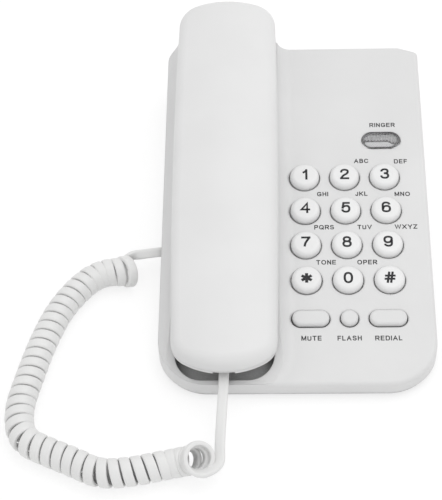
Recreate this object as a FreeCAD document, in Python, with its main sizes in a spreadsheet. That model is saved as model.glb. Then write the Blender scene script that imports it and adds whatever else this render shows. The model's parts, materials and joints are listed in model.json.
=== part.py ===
# Corded desk telephone: sloping base with a keypad, a handset in its cradle and a curly cord.
# Millimetres, +Z up, +X to the right, the keypad's front edge towards -Y.
import FreeCAD, Part
import Sketcher
import math
import os
import re

Vector = FreeCAD.Vector
Rotation = FreeCAD.Rotation
Placement = FreeCAD.Placement

DIMENSIONS = {
    # How far cutting and trimming blocks reach
    "reach": 300.0,
    "drill": 10.0,
    "sink": 0.5,
    # Base
    "base_width": 135.0,
    "base_length": 206.5,
    "panel_slope": 6.0,
    "panel_front_height": 11.0,
    "foot_height": 1.5,
    "foot_radius": 6.0,
    "foot_round": 0.4,
    "foot_inset": 17.0,
    "foot_near": 19.0,
    "foot_far": 27.0,
    "floor_thickness": 2.4,
    "tray_inset": 1.2,
    "lip_height": 2.4,
    "lip_thickness": 1.6,
    "shell_wall": 2.2,
    "front_corner": 24.5,
    "back_corner": 9.0,
    "back_cut_across": 10.5,
    "back_cut_along": 3.6,
    "back_cut_round": 3.0,
    "edge_roll": 2.0,
    "parting_gap": 0.15,
    "fit_gap": 0.3,
    # Cradle
    "cradle_inset": 32.5,
    "cradle_margin": 1.05,
    "cradle_height": 8.3,
    "cradle_skirt": 7.5,
    "cradle_corner": 15.0,
    "cradle_ramp": 42.0,
    "back_ramp": 16.0,
    "back_height": 4.5,
    "rim_thickness": 2.5,
    "rim_height": 0.4,
    "well_gap": 1.0,
    "well_inset": 1.575,
    "well_corner": 12.5,
    "well_draft": 4.0,
    # Handset
    "handset_length": 219.7,
    "handset_near": 1.3,
    "handset_width": 50.75,
    "handset_bow": 1.3,
    "handset_tip": 9.7,
    "ear_tip": 4.6,
    "handset_corner": 13.0,
    "handset_roll": 6.5,
    "handset_rise": 19.8,
    "arch_radius": 1275.0,
    "crown_radius": 75.0,
    "crown_half": 40.0,
    "handset_blank": 60.0,
    "back_extra": 1.2,
    "handset_wall": 2.2,
    "handset_rim": 2.0,
    "seat_gap": 0.4,
    "block_inset": 2.75,
    "block_corner": 11.0,
    "ear_length": 42.5,
    "ear_inset": 3.0,
    "ear_setback": 18.5,
    "ear_depth": 15.0,
    "ear_draft": 12.0,
    "mouth_start": 6.0,
    "mouth_end": 51.0,
    "mouth_depth": 13.0,
    "mouth_draft": 30.0,
    "capsule_radius": 14.8,
    "capsule_height": 8.0,
    "capsule_round": 1.0,
    "sound_hole": 1.1,
    "sound_ring": 7.0,
    "sound_row": 4.0,
    "mic_radius": 4.8,
    "mic_height": 5.0,
    "mic_wall": 2.0,
    "mic_proud": 1.0,
    "mic_v": 33.0,
    # Keypad
    "keypad_place": 0.30359,
    "keypad_v": 89.15,
    "key_pitch": 20.5,
    "row_pitch": 20.75,
    "key_radius": 7.45,
    "key_gap": 0.45,
    "hole_flare": 0.45,
    "key_proud": 3.1,
    "key_crown": 2.3,
    "key_flange": 1.2,
    "flange_reach": 1.6,
    "key_travel": 1.2,
    "function_v": 36.2,
    "function_pitch": 18.85,
    "pill_length": 18.2,
    "pill_width": 8.5,
    "pill_proud": 2.0,
    "pill_crown": 1.4,
    "mat_thickness": 1.0,
    "mat_margin": 3.0,
    "dome_radius": 2.6,
    "board_thickness": 1.6,
    "board_clear": 1.0,
    "board_margin": 7.6,
    "board_near": 21.0,
    "board_far": 164.0,
    "board_hole_inset": 3.5,
    "boss_radius": 3.0,
    "board_screw_radius": 1.1,
    "board_screw_head": 1.2,
    "board_screw_bite": 2.5,
    # Ringer lens and lamp
    "lens_inset": 22.2,
    "lens_v": 144.0,
    "lens_length": 20.2,
    "lens_width": 10.7,
    "lens_proud": 1.2,
    "lens_flange": 1.0,
    "lamp_radius": 2.5,
    "buzzer_radius": 14.0,
    "buzzer_height": 7.0,
    "buzzer_round": 1.5,
    "buzzer_side": 20.5,
    "buzzer_back": 21.5,
    # Hook switch
    "hook_v": 110.0,
    "plunger_radius": 3.5,
    "plunger_flange": 5.5,
    "plunger_flange_height": 1.5,
    "plunger_round": 0.8,
    "plunger_gap": 0.3,
    "hook_travel": 5.0,
    "hook_spring_radius": 3.9,
    "hook_spring_wire": 0.6,
    "hook_spring_turns": 4.0,
    "hook_spring_height": 6.0,
    "hook_spring_play": 0.1,
    "switch_length": 16.0,
    "switch_width": 12.0,
    # Screws
    "screw_radius": 1.5,
    "screw_head": 2.9,
    "screw_length": 9.0,
    "screw_recess": 1.2,
    "screw_spare": 1.0,
    "screw_near": 61.0,
    "front_screw_side": 30.0,
    "front_screw_y": 12.0,
    "post_setback": 8.0,
    "handset_screw_length": 6.5,
    "handset_pilot": 7.0,
    "handset_screw_head": 0.2,
    "screw_inset": 7.5,
    "screw_boss": 3.6,
    # Jacks, plugs and cord
    "jack_width": 11.6,
    "jack_wall": 1.0,
    "jack_depth": 14.0,
    "plug_width": 7.6,
    "plug_height": 6.0,
    "plug_length": 10.5,
    "plug_round": 0.6,
    "plug_seat": 1.6,
    "latch_start": 2.1,
    "latch_end": 9.4,
    "latch_width": 3.4,
    "latch_depth": 0.8,
    "base_jack_v": 81.0,
    "base_jack_height": 12.2,
    "line_jack_x": 20.0,
    "line_jack_width": 9.8,
    "line_jack_tall": 7.0,
    "line_jack_rise": 2.0,
    "handset_jack_inset": 3.7,
    "handset_jack_drop": 3.2,
    "ballast_thickness": 4.0,
    "ballast_width": 34.0,
    "ballast_length": 28.0,
    "ballast_v": 80.0,
    "ballast_clear": 2.0,
    "weight_thickness": 6.0,
    "weight_length": 60.0,
    "weight_width": 24.0,
    "cord_wire": 2.5,
    "coil_radius": 5.8,
    "coil_turns": 40.35,
}

# Places and sizes that follow from those above
FOLLOWING = {
    "cradle_x": "cradle_inset - base_width / 2",
    "cradle_width": "handset_width + 2 * cradle_margin",
    "well_half": "handset_width / 2 - well_inset",
    "block_half": "handset_width / 2 - block_inset",
    "handset_far": "handset_near + handset_length",
    "ear_end": "min(base_length - ear_inset; handset_far - ear_setback)",
    "ear_start": "ear_end - ear_length",
    "keypad_half": "key_pitch + key_radius",
    "keypad_from": "cradle_x + cradle_width / 2",
    "keypad_spare": "base_width / 2 - keypad_from - 2 * keypad_half",
    "keypad_x": "keypad_from + keypad_spare * keypad_place + keypad_half",
    "board_left": "cradle_x + well_half + shell_wall + board_clear",
    "board_right": "keypad_x + key_pitch + board_margin",
    "lens_x": "base_width / 2 - lens_inset",
    "buzzer_x": "base_width / 2 - buzzer_side",
    "buzzer_v": "base_length - buzzer_back",
    "wall_in": "shell_wall + fit_gap",
    "ballast_x": "wall_in - base_width / 2 + jack_depth + ballast_clear + ballast_width / 2",
}
NAMES = {**DIMENSIONS, **FOLLOWING}

doc = FreeCAD.newDocument("DeskPhone")
sheet = doc.addObject("Spreadsheet::Sheet", "Dims")
for row, (alias, entry) in enumerate(NAMES.items(), start=1):
    sheet.set("A%d" % row, alias)
    sheet.set("B%d" % row, "=" + entry if alias in FOLLOWING else str(entry))
    sheet.setAlias("B%d" % row, alias)
    doc.recompute()

PARTS = []
TINY = 0.01


def bound(words):
    """Turns words with dimension names into an expression on the sheet."""
    return re.sub(r"[a-z_]+", lambda m: "Dims." + m[0] if m[0] in NAMES else m[0], str(words))


def val(words):
    """The present value of such words, in millimetres or degrees."""
    result = sheet.evalExpression(bound(words))
    return float(getattr(result, "Value", result))


SLOPE = val("panel_slope")
CLEAR = val("fit_gap")
LIP = "(cradle_height + seat_gap)"
FLOOR = "(foot_height + floor_thickness)"
overall = val("handset_far * cos(panel_slope) - %s * sin(panel_slope)" % LIP)
Y_FRONT = -overall / 2
PANEL = Placement(Vector(0, Y_FRONT, val("panel_front_height")), Rotation(Vector(1, 0, 0), SLOPE))


def on_panel(x, v, w=0.0):
    """Placement at x, up the panel by v and out of it by w."""
    return PANEL * Placement(Vector(x, v, w), Rotation())


def height_at(v):
    """Height of the panel plane above the table at v."""
    return PANEL.multVec(Vector(0, v, 0)).z


def keep(thing, label):
    """Names a finished sub-part."""
    thing.Label = label
    PARTS.append(thing)
    return thing


def new_body(name):
    return doc.addObject("PartDesign::Body", name)


def plane_of(body, role):
    return next(f for f in body.Origin.OriginFeatures if f.Role == role)


def sketch_on(body, role, rise="0"):
    sketch = body.newObject("Sketcher::SketchObject", "Sketch")
    sketch.AttachmentSupport = (plane_of(body, role), [""])
    sketch.MapMode = "FlatFace"
    sketch.AttachmentOffset = Placement(Vector(0, 0, val(rise)), Rotation())
    sketch.setExpression("AttachmentOffset.Base.z", bound(rise))
    return sketch


def pin(sketch, kind, where, words):
    """Adds one dimension to a sketch and binds it to the sheet."""
    index = sketch.addConstraint(Sketcher.Constraint(kind, *where, val(words)))
    sketch.setExpression("Constraints[%d]" % index, bound(words))


def polygon(sketch, points, bulges=None):
    """Closed outline through points, anticlockwise; a bulge makes a side an arc."""
    bulges = bulges or {}
    spots = [Vector(val(x), val(y), 0) for x, y in points]
    count = len(spots)
    for i in range(count):
        start, end = spots[i], spots[(i + 1) % count]
        if i in bulges:
            out = Vector(end.y - start.y, start.x - end.x, 0).normalize()
            middle = (start + end) / 2 + out * val(bulges[i])
            sketch.addGeometry(Part.Arc(start, middle, end))
        else:
            sketch.addGeometry(Part.LineSegment(start, end))
    for i in range(count):
        sketch.addConstraint(Sketcher.Constraint("Coincident", i, 2, (i + 1) % count, 1))
    for i, (x, y) in enumerate(points):
        pin(sketch, "DistanceX", (-1, 1, i, 1), x)
        pin(sketch, "DistanceY", (-1, 1, i, 1), y)
    for i, bulge in bulges.items():
        (x0, y0), (x1, y1) = points[i], points[(i + 1) % count]
        chord = "(((%s) - (%s))^2 + ((%s) - (%s))^2)" % (x1, x0, y1, y0)
        pin(sketch, "Radius", (i,), "(%s / 4 + (%s)^2) / (2 * (%s))" % (chord, bulge, bulge))


def circle(sketch, x, y, radius):
    index = sketch.addGeometry(Part.Circle(Vector(val(x), val(y), 0), Vector(0, 0, 1), val(radius)))
    pin(sketch, "DistanceX", (-1, 1, index, 3), x)
    pin(sketch, "DistanceY", (-1, 1, index, 3), y)
    pin(sketch, "Radius", (index,), radius)


def stadium(sketch, length, width):
    """Slot outline centred on the sketch's origin, along its first axis."""
    reach = "((%s) - (%s)) / 2" % (length, width)
    radius = "(%s) / 2" % width
    a, r = val(reach), val(radius)
    axis = Vector(0, 0, 1)
    right = Part.ArcOfCircle(Part.Circle(Vector(a, 0, 0), axis, r), -math.pi / 2, math.pi / 2)
    left = Part.ArcOfCircle(Part.Circle(Vector(-a, 0, 0), axis, r), math.pi / 2, 3 * math.pi / 2)
    sketch.addGeometry(right)
    sketch.addGeometry(Part.LineSegment(Vector(a, r, 0), Vector(-a, r, 0)))
    sketch.addGeometry(left)
    sketch.addGeometry(Part.LineSegment(Vector(-a, -r, 0), Vector(a, -r, 0)))
    for i in range(4):
        sketch.addConstraint(Sketcher.Constraint("Tangent", i, 2, (i + 1) % 4, 1))
    pin(sketch, "DistanceX", (-1, 1, 0, 3), reach)
    pin(sketch, "DistanceY", (-1, 1, 0, 3), "0")
    pin(sketch, "DistanceX", (-1, 1, 2, 3), "0 - " + reach)
    pin(sketch, "Radius", (0,), radius)


def pad(body, sketch, length, both=False, down=False):
    feature = body.newObject("PartDesign::Pad", "Pad")
    feature.Profile = sketch
    feature.SideType = "Symmetric" if both else "One side"
    feature.Reversed = down
    feature.setExpression("Length", bound(length))
    sketch.Visibility = False
    doc.recompute()
    return feature


def pocket(body, sketch, length, both=False, up=False):
    before = body.Shape.Volume
    feature = body.newObject("PartDesign::Pocket", "Pocket")
    feature.Profile = sketch
    feature.SideType = "Symmetric" if both else "One side"
    feature.Reversed = up
    feature.setExpression("Length", bound(length))
    doc.recompute()
    if body.Shape.Volume >= before:
        raise RuntimeError("a pocket of %s cuts nothing" % body.Name)
    return feature


def round_edges(body, chosen, radius):
    """Fillets the body's edges for which chosen(edge) is true."""
    names = ["Edge%d" % (i + 1) for i, edge in enumerate(body.Shape.Edges) if chosen(edge)]
    feature = body.newObject("PartDesign::Fillet", "Fillet")
    feature.Base = (body.Tip if body.Tip != feature else feature.BaseFeature, names)
    feature.setExpression("Radius", bound(radius))
    doc.recompute()
    return feature


def slant_edge(body, chosen, across, along):
    """Chamfers the chosen edge by two lengths, the first one along x."""
    index, edge = next((i + 1, e) for i, e in enumerate(body.Shape.Edges) if chosen(e))
    feature = body.newObject("PartDesign::Chamfer", "Chamfer")
    feature.Base = (body.Tip if body.Tip != feature else feature.BaseFeature, ["Edge%d" % index])
    feature.ChamferType = "Two distances"
    feature.setExpression("Size", bound(across))
    feature.setExpression("Size2", bound(along))
    corner = edge.BoundBox
    doc.recompute()
    moved = max(v.X for v in body.Shape.Vertexes if abs(v.Y - corner.YMax) < TINY)
    feature.FlipDirection = abs(corner.XMax - val(across) - moved) > TINY
    doc.recompute()
    return feature


def is_upright(edge):
    box = edge.BoundBox
    return box.XLength < 1e-4 and box.YLength < 1e-4 and box.ZLength > 0.1


def plate(name, outline, thickness, rise="0"):
    """Body padded from one drawn outline."""
    body = new_body(name)
    sketch = sketch_on(body, "XY_Plane", rise)
    outline(sketch)
    pad(body, sketch, thickness)
    return body


def block(name, x0, x1, y0, y1, z0, z1):
    """Body with flat faces at the six given places."""
    corners = [(x0, y0), (x1, y0), (x1, y1), (x0, y1)]
    return plate(name, lambda s: polygon(s, corners), "(%s) - (%s)" % (z1, z0), z0)


def disc(name, radius, thickness, rise="0", x="0", y="0"):
    return plate(name, lambda s: circle(s, x, y, radius), thickness, rise)


def cut(name, base, *tools):
    return boolean("Part::Cut", name, base, tools)


def fuse(name, *things):
    result = doc.addObject("Part::MultiFuse", name)
    result.Shapes = list(things)
    doc.recompute()
    return result


def boolean(kind, name, base, tools):
    tool = tools[0] if len(tools) == 1 else fuse(name + "Tools", *tools)
    result = doc.addObject(kind, name)
    result.Base = base
    result.Tool = tool
    doc.recompute()
    return result


def group(name, things):
    """Several separate solids in one node."""
    thing = doc.addObject("Part::Compound", name)
    thing.Links = things
    doc.recompute()
    return thing


# Wedge-shaped blocks for the base, upright walls with rounded corners
def wedge(name, inset, bottom, drop):
    """Prism of the base's outline, drawn in by inset, under the panel plane lowered by drop."""
    body = new_body(name)
    sketch = sketch_on(body, "YZ_Plane")
    lift = "panel_front_height - (%s) / cos(panel_slope)" % drop
    polygon(sketch, [
        (inset, bottom),
        ("base_length - (%s)" % inset, bottom),
        ("base_length - (%s)" % inset, "%s + (base_length - (%s)) * tan(panel_slope)" % (lift, inset)),
        (inset, "%s + (%s) * tan(panel_slope)" % (lift, inset)),
    ])
    pad(body, sketch, "base_width - 2 * (%s)" % inset, both=True)
    middle = val("base_length") / 2
    round_edges(body, lambda e: is_upright(e) and e.BoundBox.YMax < middle, "front_corner - (%s)" % inset)
    at_back = lambda e: is_upright(e) and e.BoundBox.YMin > middle
    round_edges(body, lambda e: at_back(e) and e.BoundBox.XMax < 0, "back_corner - (%s)" % inset)
    slant_edge(body, lambda e: at_back(e) and e.BoundBox.XMin > 0, "back_cut_across", "back_cut_along")
    round_edges(body, lambda e: at_back(e) and e.BoundBox.XMin > 0, "back_cut_round")
    body.Placement.Base = Vector(0, Y_FRONT, 0)
    return body


CRADLE_LEFT = "(cradle_x - cradle_width / 2)"
CRADLE_RIGHT = "(cradle_x + cradle_width / 2)"


def cradle_form(name):
    """Endless panel slab with the cradle standing on it, a hollow skirt around its foot."""
    body = block(name, "0 - reach", "reach", "0 - reach", "reach", "0 - reach", "0")
    sketch = sketch_on(body, "XY_Plane")
    polygon(sketch, [
        (CRADLE_LEFT, "rim_thickness"),
        (CRADLE_RIGHT, "rim_thickness"),
        (CRADLE_RIGHT, "reach"),
        (CRADLE_LEFT, "reach"),
    ])
    pad(body, sketch, "cradle_height")
    low, high = val(CRADLE_LEFT) - TINY, val(CRADLE_RIGHT) + TINY
    near, far = val("rim_thickness") + TINY, val("reach") - TINY

    def is_corner(edge):
        box = edge.BoundBox
        return is_upright(edge) and box.XMin > low and box.XMax < high and box.YMax < near

    def is_foot(edge):
        box = edge.BoundBox
        return max(abs(box.ZMin), abs(box.ZMax)) < TINY and box.XMin > low and box.XMax < high and box.YMin < far

    round_edges(body, is_corner, "cradle_corner")
    round_edges(body, is_foot, "cradle_skirt")
    ramp = sketch_on(body, "YZ_Plane")
    polygon(ramp, [
        ("0 - reach", "rim_height"),
        ("rim_thickness", "rim_height"),
        ("cradle_ramp", "cradle_height"),
        ("cradle_ramp", "reach"),
        ("0 - reach", "reach"),
    ])
    pocket(body, ramp, "2 * reach", both=True)
    fall = sketch_on(body, "YZ_Plane")
    polygon(fall, [
        ("base_length - back_ramp", "cradle_height"),
        ("base_length", "back_height"),
        ("reach", "back_height"),
        ("reach", "reach"),
        ("base_length - back_ramp", "reach"),
    ])
    pocket(body, fall, "2 * reach", both=True)
    body.Placement = PANEL
    return body


def rounded_rectangle(x0, x1, y0, y1, radius, z):
    """Closed wire at height z."""
    flat = Part.Face(Part.makePolygon([Vector(x0, y0, z), Vector(x1, y0, z), Vector(x1, y1, z),
                                       Vector(x0, y1, z), Vector(x0, y0, z)]))
    solid = flat.extrude(Vector(0, 0, radius))
    upright = [e for e in solid.Edges if is_upright(e)]
    solid = solid.makeFillet(radius, upright)
    bottom = min(solid.Faces, key=lambda f: f.CenterOfMass.z)
    return bottom.OuterWire


def tapered(x, half, near, far, corner, top, bottom, draft):
    """Solid between two rounded rectangles, narrower at the bottom by the draft angle."""
    inset = (top - bottom) * math.tan(math.radians(draft))
    small = max(corner - inset, 1.0)
    upper = rounded_rectangle(x - half, x + half, near, far, corner, top)
    lower = rounded_rectangle(x - half + inset, x + half - inset, near + inset, far - inset, small, bottom)
    return Part.makeLoft([lower, upper], True, True)


def end_block(name, end, grow, deeper, raise_top=0.0):
    """Ear or mouth block of the handset, grown to make its well or drawn in to make its hollow."""
    lip = val(LIP)
    depth = val("%s_depth" % end)
    draft = val("%s_draft" % end)
    spread = grow + raise_top * math.tan(math.radians(draft))
    thing = doc.addObject("Part::Feature", name)
    thing.Shape = tapered(val("cradle_x"), val("block_half") + spread, val("%s_start" % end) - spread,
                          val("%s_end" % end) + spread, val("block_corner") + spread,
                          lip + raise_top, lip - depth - deeper, draft)
    thing.Placement = PANEL
    return thing


def mouth_well(name, grow, deeper):
    """Steep-sided well behind the rim that takes the handset's mouth block."""
    top = val("cradle_height + cradle_skirt")
    bottom = val(LIP + " - mouth_depth - fit_gap")
    spread = grow + top * math.tan(math.radians(val("well_draft")))
    thing = doc.addObject("Part::Feature", name)
    thing.Shape = tapered(val("cradle_x"), val("well_half") + spread, val("rim_thickness") - spread,
                          val("mouth_end + well_gap") + spread, val("well_corner") + spread,
                          top, bottom - deeper, val("well_draft"))
    thing.Placement = PANEL
    return thing


# Where the keys stand: name, x and v
FLARE_ANGLE = 45
KEY_ROWS = [["1", "2", "3"], ["4", "5", "6"], ["7", "8", "9"], ["star", "0", "hash"]]
KEYS = {}
for row, names in enumerate(KEY_ROWS):
    for column, name in enumerate(names):
        KEYS["key_" + name] = (val("keypad_x + key_pitch * %d" % (column - 1)),
                               val("keypad_v + row_pitch * %g" % (1.5 - row)))
FUNCTIONS = {}
for column, name in enumerate(["mute_button", "flash_button", "redial_button"]):
    FUNCTIONS[name] = (val("keypad_x + function_pitch * %d" % (column - 1)), val("function_v"))
UNDER_WALL = "(0 - shell_wall - fit_gap)"
FLANGE_BOTTOM = "(%s - key_flange)" % UNDER_WALL
DOME = "(key_travel + fit_gap)"
MAT_BOTTOM = "(%s - fit_gap / 2 - %s - mat_thickness)" % (FLANGE_BOTTOM, DOME)
BOARD_BOTTOM = "(%s - board_thickness)" % MAT_BOTTOM


def key_outline(name, grow):
    """Draws a key's outline, grown all round."""
    if name in KEYS:
        return lambda s: circle(s, "0", "0", "key_radius + (%s)" % grow)
    if name == "flash_button":
        return lambda s: circle(s, "0", "0", "pill_width / 2 + (%s)" % grow)
    return lambda s: stadium(s, "pill_length + 2 * (%s)" % grow, "pill_width + 2 * (%s)" % grow)


def make_keys():
    for name, (x, v) in {**KEYS, **FUNCTIONS}.items():
        proud, crown = ("key_proud", "key_crown") if name in KEYS else ("pill_proud", "pill_crown")
        body = plate("Key", key_outline(name, "0"), "%s - %s" % (proud, UNDER_WALL), UNDER_WALL)
        top = val(proud)
        round_edges(body, lambda e: e.BoundBox.ZMin > top - TINY, crown)
        sketch = sketch_on(body, "XY_Plane", FLANGE_BOTTOM)
        key_outline(name, "flange_reach")(sketch)
        pad(body, sketch, "key_flange")
        body.Placement = on_panel(x, v)
        keep(body, name)


def make_key_holes():
    holes = []
    for name, (x, v) in {**KEYS, **FUNCTIONS}.items():
        hole = plate("KeyHole", key_outline(name, "key_gap"), "2 * drill", "0 - drill")
        flare = sketch_on(hole, "XY_Plane", "0 - hole_flare")
        key_outline(name, "key_gap")(flare)
        pad(hole, flare, "2 * hole_flare").TaperAngle = FLARE_ANGLE
        hole.Placement = on_panel(x, v)
        holes.append(hole)
    window = plate("LensHole", lambda s: stadium(s, "lens_length + fit_gap", "lens_width + fit_gap"),
                   "2 * drill", "0 - drill")
    window.Placement = on_panel(val("lens_x"), val("lens_v"))
    return holes + [window]


def make_mat():
    edge = "dome_radius + mat_margin"
    body = block("Mat", "keypad_x - key_pitch - (%s)" % edge, "keypad_x + key_pitch + (%s)" % edge,
                 "function_v - (%s)" % edge, "keypad_v + row_pitch * 1.5 + (%s)" % edge,
                 MAT_BOTTOM, MAT_BOTTOM + " + mat_thickness")
    sketch = sketch_on(body, "XY_Plane", MAT_BOTTOM + " + mat_thickness")
    for row in range(4):
        for column in range(3):
            circle(sketch, "keypad_x + key_pitch * %d" % (column - 1),
                   "keypad_v + row_pitch * %g" % (1.5 - row), "dome_radius")
    for column in range(3):
        circle(sketch, "keypad_x + function_pitch * %d" % (column - 1), "function_v", "dome_radius")
    pad(body, sketch, DOME)
    body.Placement = PANEL
    keep(body, "keypad_mat")


BOARD_HOLES = [(x, v) for x in ("board_left + board_hole_inset", "board_right - board_hole_inset")
               for v in ("board_near + board_hole_inset", "board_far - board_hole_inset")]


def make_board():
    body = block("Board", "board_left", "board_right", "board_near", "board_far", BOARD_BOTTOM, MAT_BOTTOM)
    sketch = sketch_on(body, "XY_Plane", MAT_BOTTOM)
    for x, v in BOARD_HOLES:
        circle(sketch, x, v, "board_screw_radius + fit_gap")
    pocket(body, sketch, "board_thickness")
    body.Placement = PANEL
    keep(body, "main_circuit_board")


def board_bosses():
    """Posts under the panel that the board is screwed to, and the holes in them."""
    posts, holes = [], []
    for x, v in BOARD_HOLES:
        rise = "0 - shell_wall - (%s)" % MAT_BOTTOM
        posts.append(disc("BoardBoss", "boss_radius", rise + " + sink", MAT_BOTTOM, x, v))
        holes.append(disc("BoardBossHole", "board_screw_radius", rise, MAT_BOTTOM, x, v))
    for thing in posts + holes:
        thing.Placement = PANEL
    return posts, holes


def screw(name, shaft, head, length, head_height, place):
    """A screw with its head's underside at its place and its point up."""
    thing = fuse(name, disc("Stem", shaft, length), disc("Head", head, head_height, "0 - (%s)" % head_height))
    thing.Placement = place
    return thing


def make_board_screws():
    screws = []
    for x, v in BOARD_HOLES:
        place = on_panel(val(x), val(v), val(BOARD_BOTTOM))
        screws.append(screw("BoardScrew", "board_screw_radius", "2 * board_screw_radius",
                            "board_thickness + board_screw_bite", "board_screw_head", place))
    keep(group("BoardScrews", screws), "board_screws")


# Screws that close the base from below: x, and y from the front wall
SCREW_SPOTS = [("screw_inset - base_width / 2", "screw_near"), ("base_width / 2 - front_screw_side", "front_screw_y"),
               ("screw_inset - base_width / 2", "base_length - screw_inset"),
               ("base_width / 2 - screw_inset", "base_length - screw_inset")]


def screw_reach(y):
    """How long a base screw is, so that its point stays inside the shell."""
    top = "(panel_front_height + (%s) * tan(panel_slope) - 2 * shell_wall)" % y
    return "min(screw_length; floor_thickness + %s - %s - screw_spare)" % (top, FLOOR)


def make_base_screws():
    screws = []
    for x, y in SCREW_SPOTS:
        place = Placement(Vector(val(x), Y_FRONT + val(y), val("foot_height + screw_recess")), Rotation())
        screws.append(screw("BaseScrew", "screw_radius", "screw_head", screw_reach(y), "screw_recess", place))
    keep(group("BaseScrews", screws), "base_screws")


def drill(name, x, y, radius, low, length):
    """Upright cylinder standing at a base screw's place."""
    thing = doc.addObject("Part::Cylinder", name)
    thing.setExpression("Radius", bound(radius))
    thing.setExpression("Height", bound(length))
    thing.Placement.Base = Vector(val(x), Y_FRONT + val(y), val(low))
    return thing


def roll_edge(name, base):
    """Rounds the panel's outer edge from the cradle's skirt all the way round."""
    inside = PANEL.inverse()
    skirt = val(CRADLE_RIGHT + " + cradle_skirt")
    chosen = []
    for i, edge in enumerate(base.Shape.Edges, start=1):
        spots = [inside.multVec(p) for p in edge.discretize(5)]
        flat = all(abs(p.z) < TINY for p in spots)
        across = [p.x for p in spots]
        if flat and min(across) > skirt - TINY and max(across) > skirt + TINY:
            chosen.append((i, val("edge_roll"), val("edge_roll")))
    feature = doc.addObject("Part::Fillet", name)
    feature.Base = base
    feature.Edges = chosen
    doc.recompute()
    return feature


def make_base():
    sky = block("Sky", "0 - reach", "reach", "0 - reach", "reach", "0", "reach")
    outer = cut("CradleBlock", wedge("Outer", "0", FLOOR + " + parting_gap", "0 - cradle_height - cradle_skirt"),
                cut("Above", sky, cradle_form("Form")))
    outer = roll_edge("RolledBlock", outer)
    wall = val("shell_wall")
    above = val("cradle_skirt")
    wells = [end_block("EarWell", "ear", val("well_gap"), CLEAR, above),
             mouth_well("MouthWell", 0, 0)]
    cups = [end_block("EarCup", "ear", val("well_gap") + wall, CLEAR + wall),
            mouth_well("MouthCup", wall, wall)]
    attic = block("Attic", CRADLE_LEFT + " + shell_wall", CRADLE_RIGHT + " - shell_wall",
                  "cradle_ramp + 2 * shell_wall", "base_length - back_ramp", "0 - drill",
                  "cradle_height - shell_wall")
    attic.Placement = PANEL
    posts, holes = board_bosses()
    tall, pilots = [], []
    for x, y in SCREW_SPOTS:
        top = "(panel_front_height + (%s) * tan(panel_slope) - shell_wall)" % y
        tall.append(drill("ScrewBoss", x, y, "screw_boss", FLOOR + " + parting_gap", "%s - %s + sink" % (top, FLOOR)))
        pilots.append(drill("Pilot", x, y, "screw_radius", "foot_height",
                            screw_reach(y) + " + screw_recess + fit_gap"))
    hollow = cut("Hollow", fuse("Space", wedge("Inner", "shell_wall", FLOOR, "shell_wall"), attic),
                 *cups, *posts, *tall)
    plunger_hole = disc("PlungerHole", "plunger_radius + fit_gap", "4 * drill", "0 - 2 * drill", "cradle_x", "hook_v")
    plunger_hole.Placement = PANEL
    shell = cut("UpperShell", outer, *wells, hollow, *make_key_holes(), *holes, *pilots, plunger_hole,
                *jack_openings())
    keep(shell, "base_upper_shell")


def make_lower_shell():
    body = wedge("Tray", "tray_inset", "foot_height", "0 - floor_thickness")
    ceiling = sketch_on(body, "XY_Plane", FLOOR)
    polygon(ceiling, [("0 - reach", "0 - reach"), ("reach", "0 - reach"), ("reach", "reach"), ("0 - reach", "reach")])
    pocket(body, ceiling, "reach", up=True)
    inset = "shell_wall + parting_gap"
    ring = cut("Lip", wedge("LipOuter", inset, FLOOR, "0"),
               wedge("LipInner", inset + " + lip_thickness", "0", "0 - drill"))
    low = block("LipBand", "0 - reach", "reach", "0 - reach", "reach", FLOOR, FLOOR + " + lip_height")
    lip = boolean("Part::Common", "LipRing", ring, [low])
    clear = [block("LipJackGap", "0 - base_width", "jack_depth + jack_width / 4 - base_width / 2",
                   "base_jack_v - jack_width", "base_jack_v + jack_width", FLOOR, "reach"),
             block("LipLineGap", "line_jack_x - jack_width", "line_jack_x + jack_width",
                   "base_length - jack_depth - jack_width / 4", "base_length + drill", FLOOR, "reach")]
    for thing in clear:
        thing.Placement.Base = Vector(0, Y_FRONT, 0)
    clear.append(mouth_well("LipWellGap", val("shell_wall + fit_gap"), val("2 * shell_wall")))
    floor_holes = []
    for x, y in SCREW_SPOTS:
        clear.append(drill("LipBossGap", x, y, "screw_boss + fit_gap", FLOOR, "reach"))
        floor_holes.append(drill("StemHole", x, y, "screw_radius + fit_gap", "foot_height - 1", "drill"))
        floor_holes.append(drill("HeadHole", x, y, "screw_head + fit_gap", "foot_height - 1", "screw_recess + 1"))
    tray = cut("LowerShell", fuse("TrayLip", body, cut("LipCut", lip, *clear)), *floor_holes)
    keep(tray, "base_lower_shell")


def make_feet():
    across = val("base_width / 2 - foot_inset")
    feet = []
    for x in (-across, across):
        for y in (val("foot_near"), val("base_length - foot_far")):
            foot = disc("Foot", "foot_radius", "foot_height")
            round_edges(foot, lambda e: e.BoundBox.ZMax < TINY, "foot_round")
            foot.Placement.Base = Vector(x, Y_FRONT + y, 0)
            feet.append(foot)
    keep(group("Feet", feet), "rubber_feet")


# Jacks and plugs, each drawn along +X with its opening centred on y = z = 0
PLUG_SPACE = ("(plug_width + 2 * fit_gap)", "(plug_height + 2 * fit_gap)")
LINE_SPACE = ("line_jack_width", "line_jack_tall")
LINE_HEIGHT = "(%s + jack_wall + line_jack_tall / 2 + line_jack_rise)" % FLOOR
BASE_JACK = Placement(Vector(val("wall_in - base_width / 2"), Y_FRONT + val("base_jack_v"),
                             val("base_jack_height")), Rotation())
LINE_JACK = Placement(Vector(val("line_jack_x"), Y_FRONT + val("base_length - wall_in"), val(LINE_HEIGHT)),
                      Rotation(Vector(0, 0, 1), -90))
HANDSET_JACK = on_panel(val("cradle_x"), val("mouth_start + handset_jack_inset"), val(LIP + " - handset_jack_drop"))
HANDSET_JACK = HANDSET_JACK * Placement(Vector(), Rotation(Vector(0, 0, 1), 90))


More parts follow.
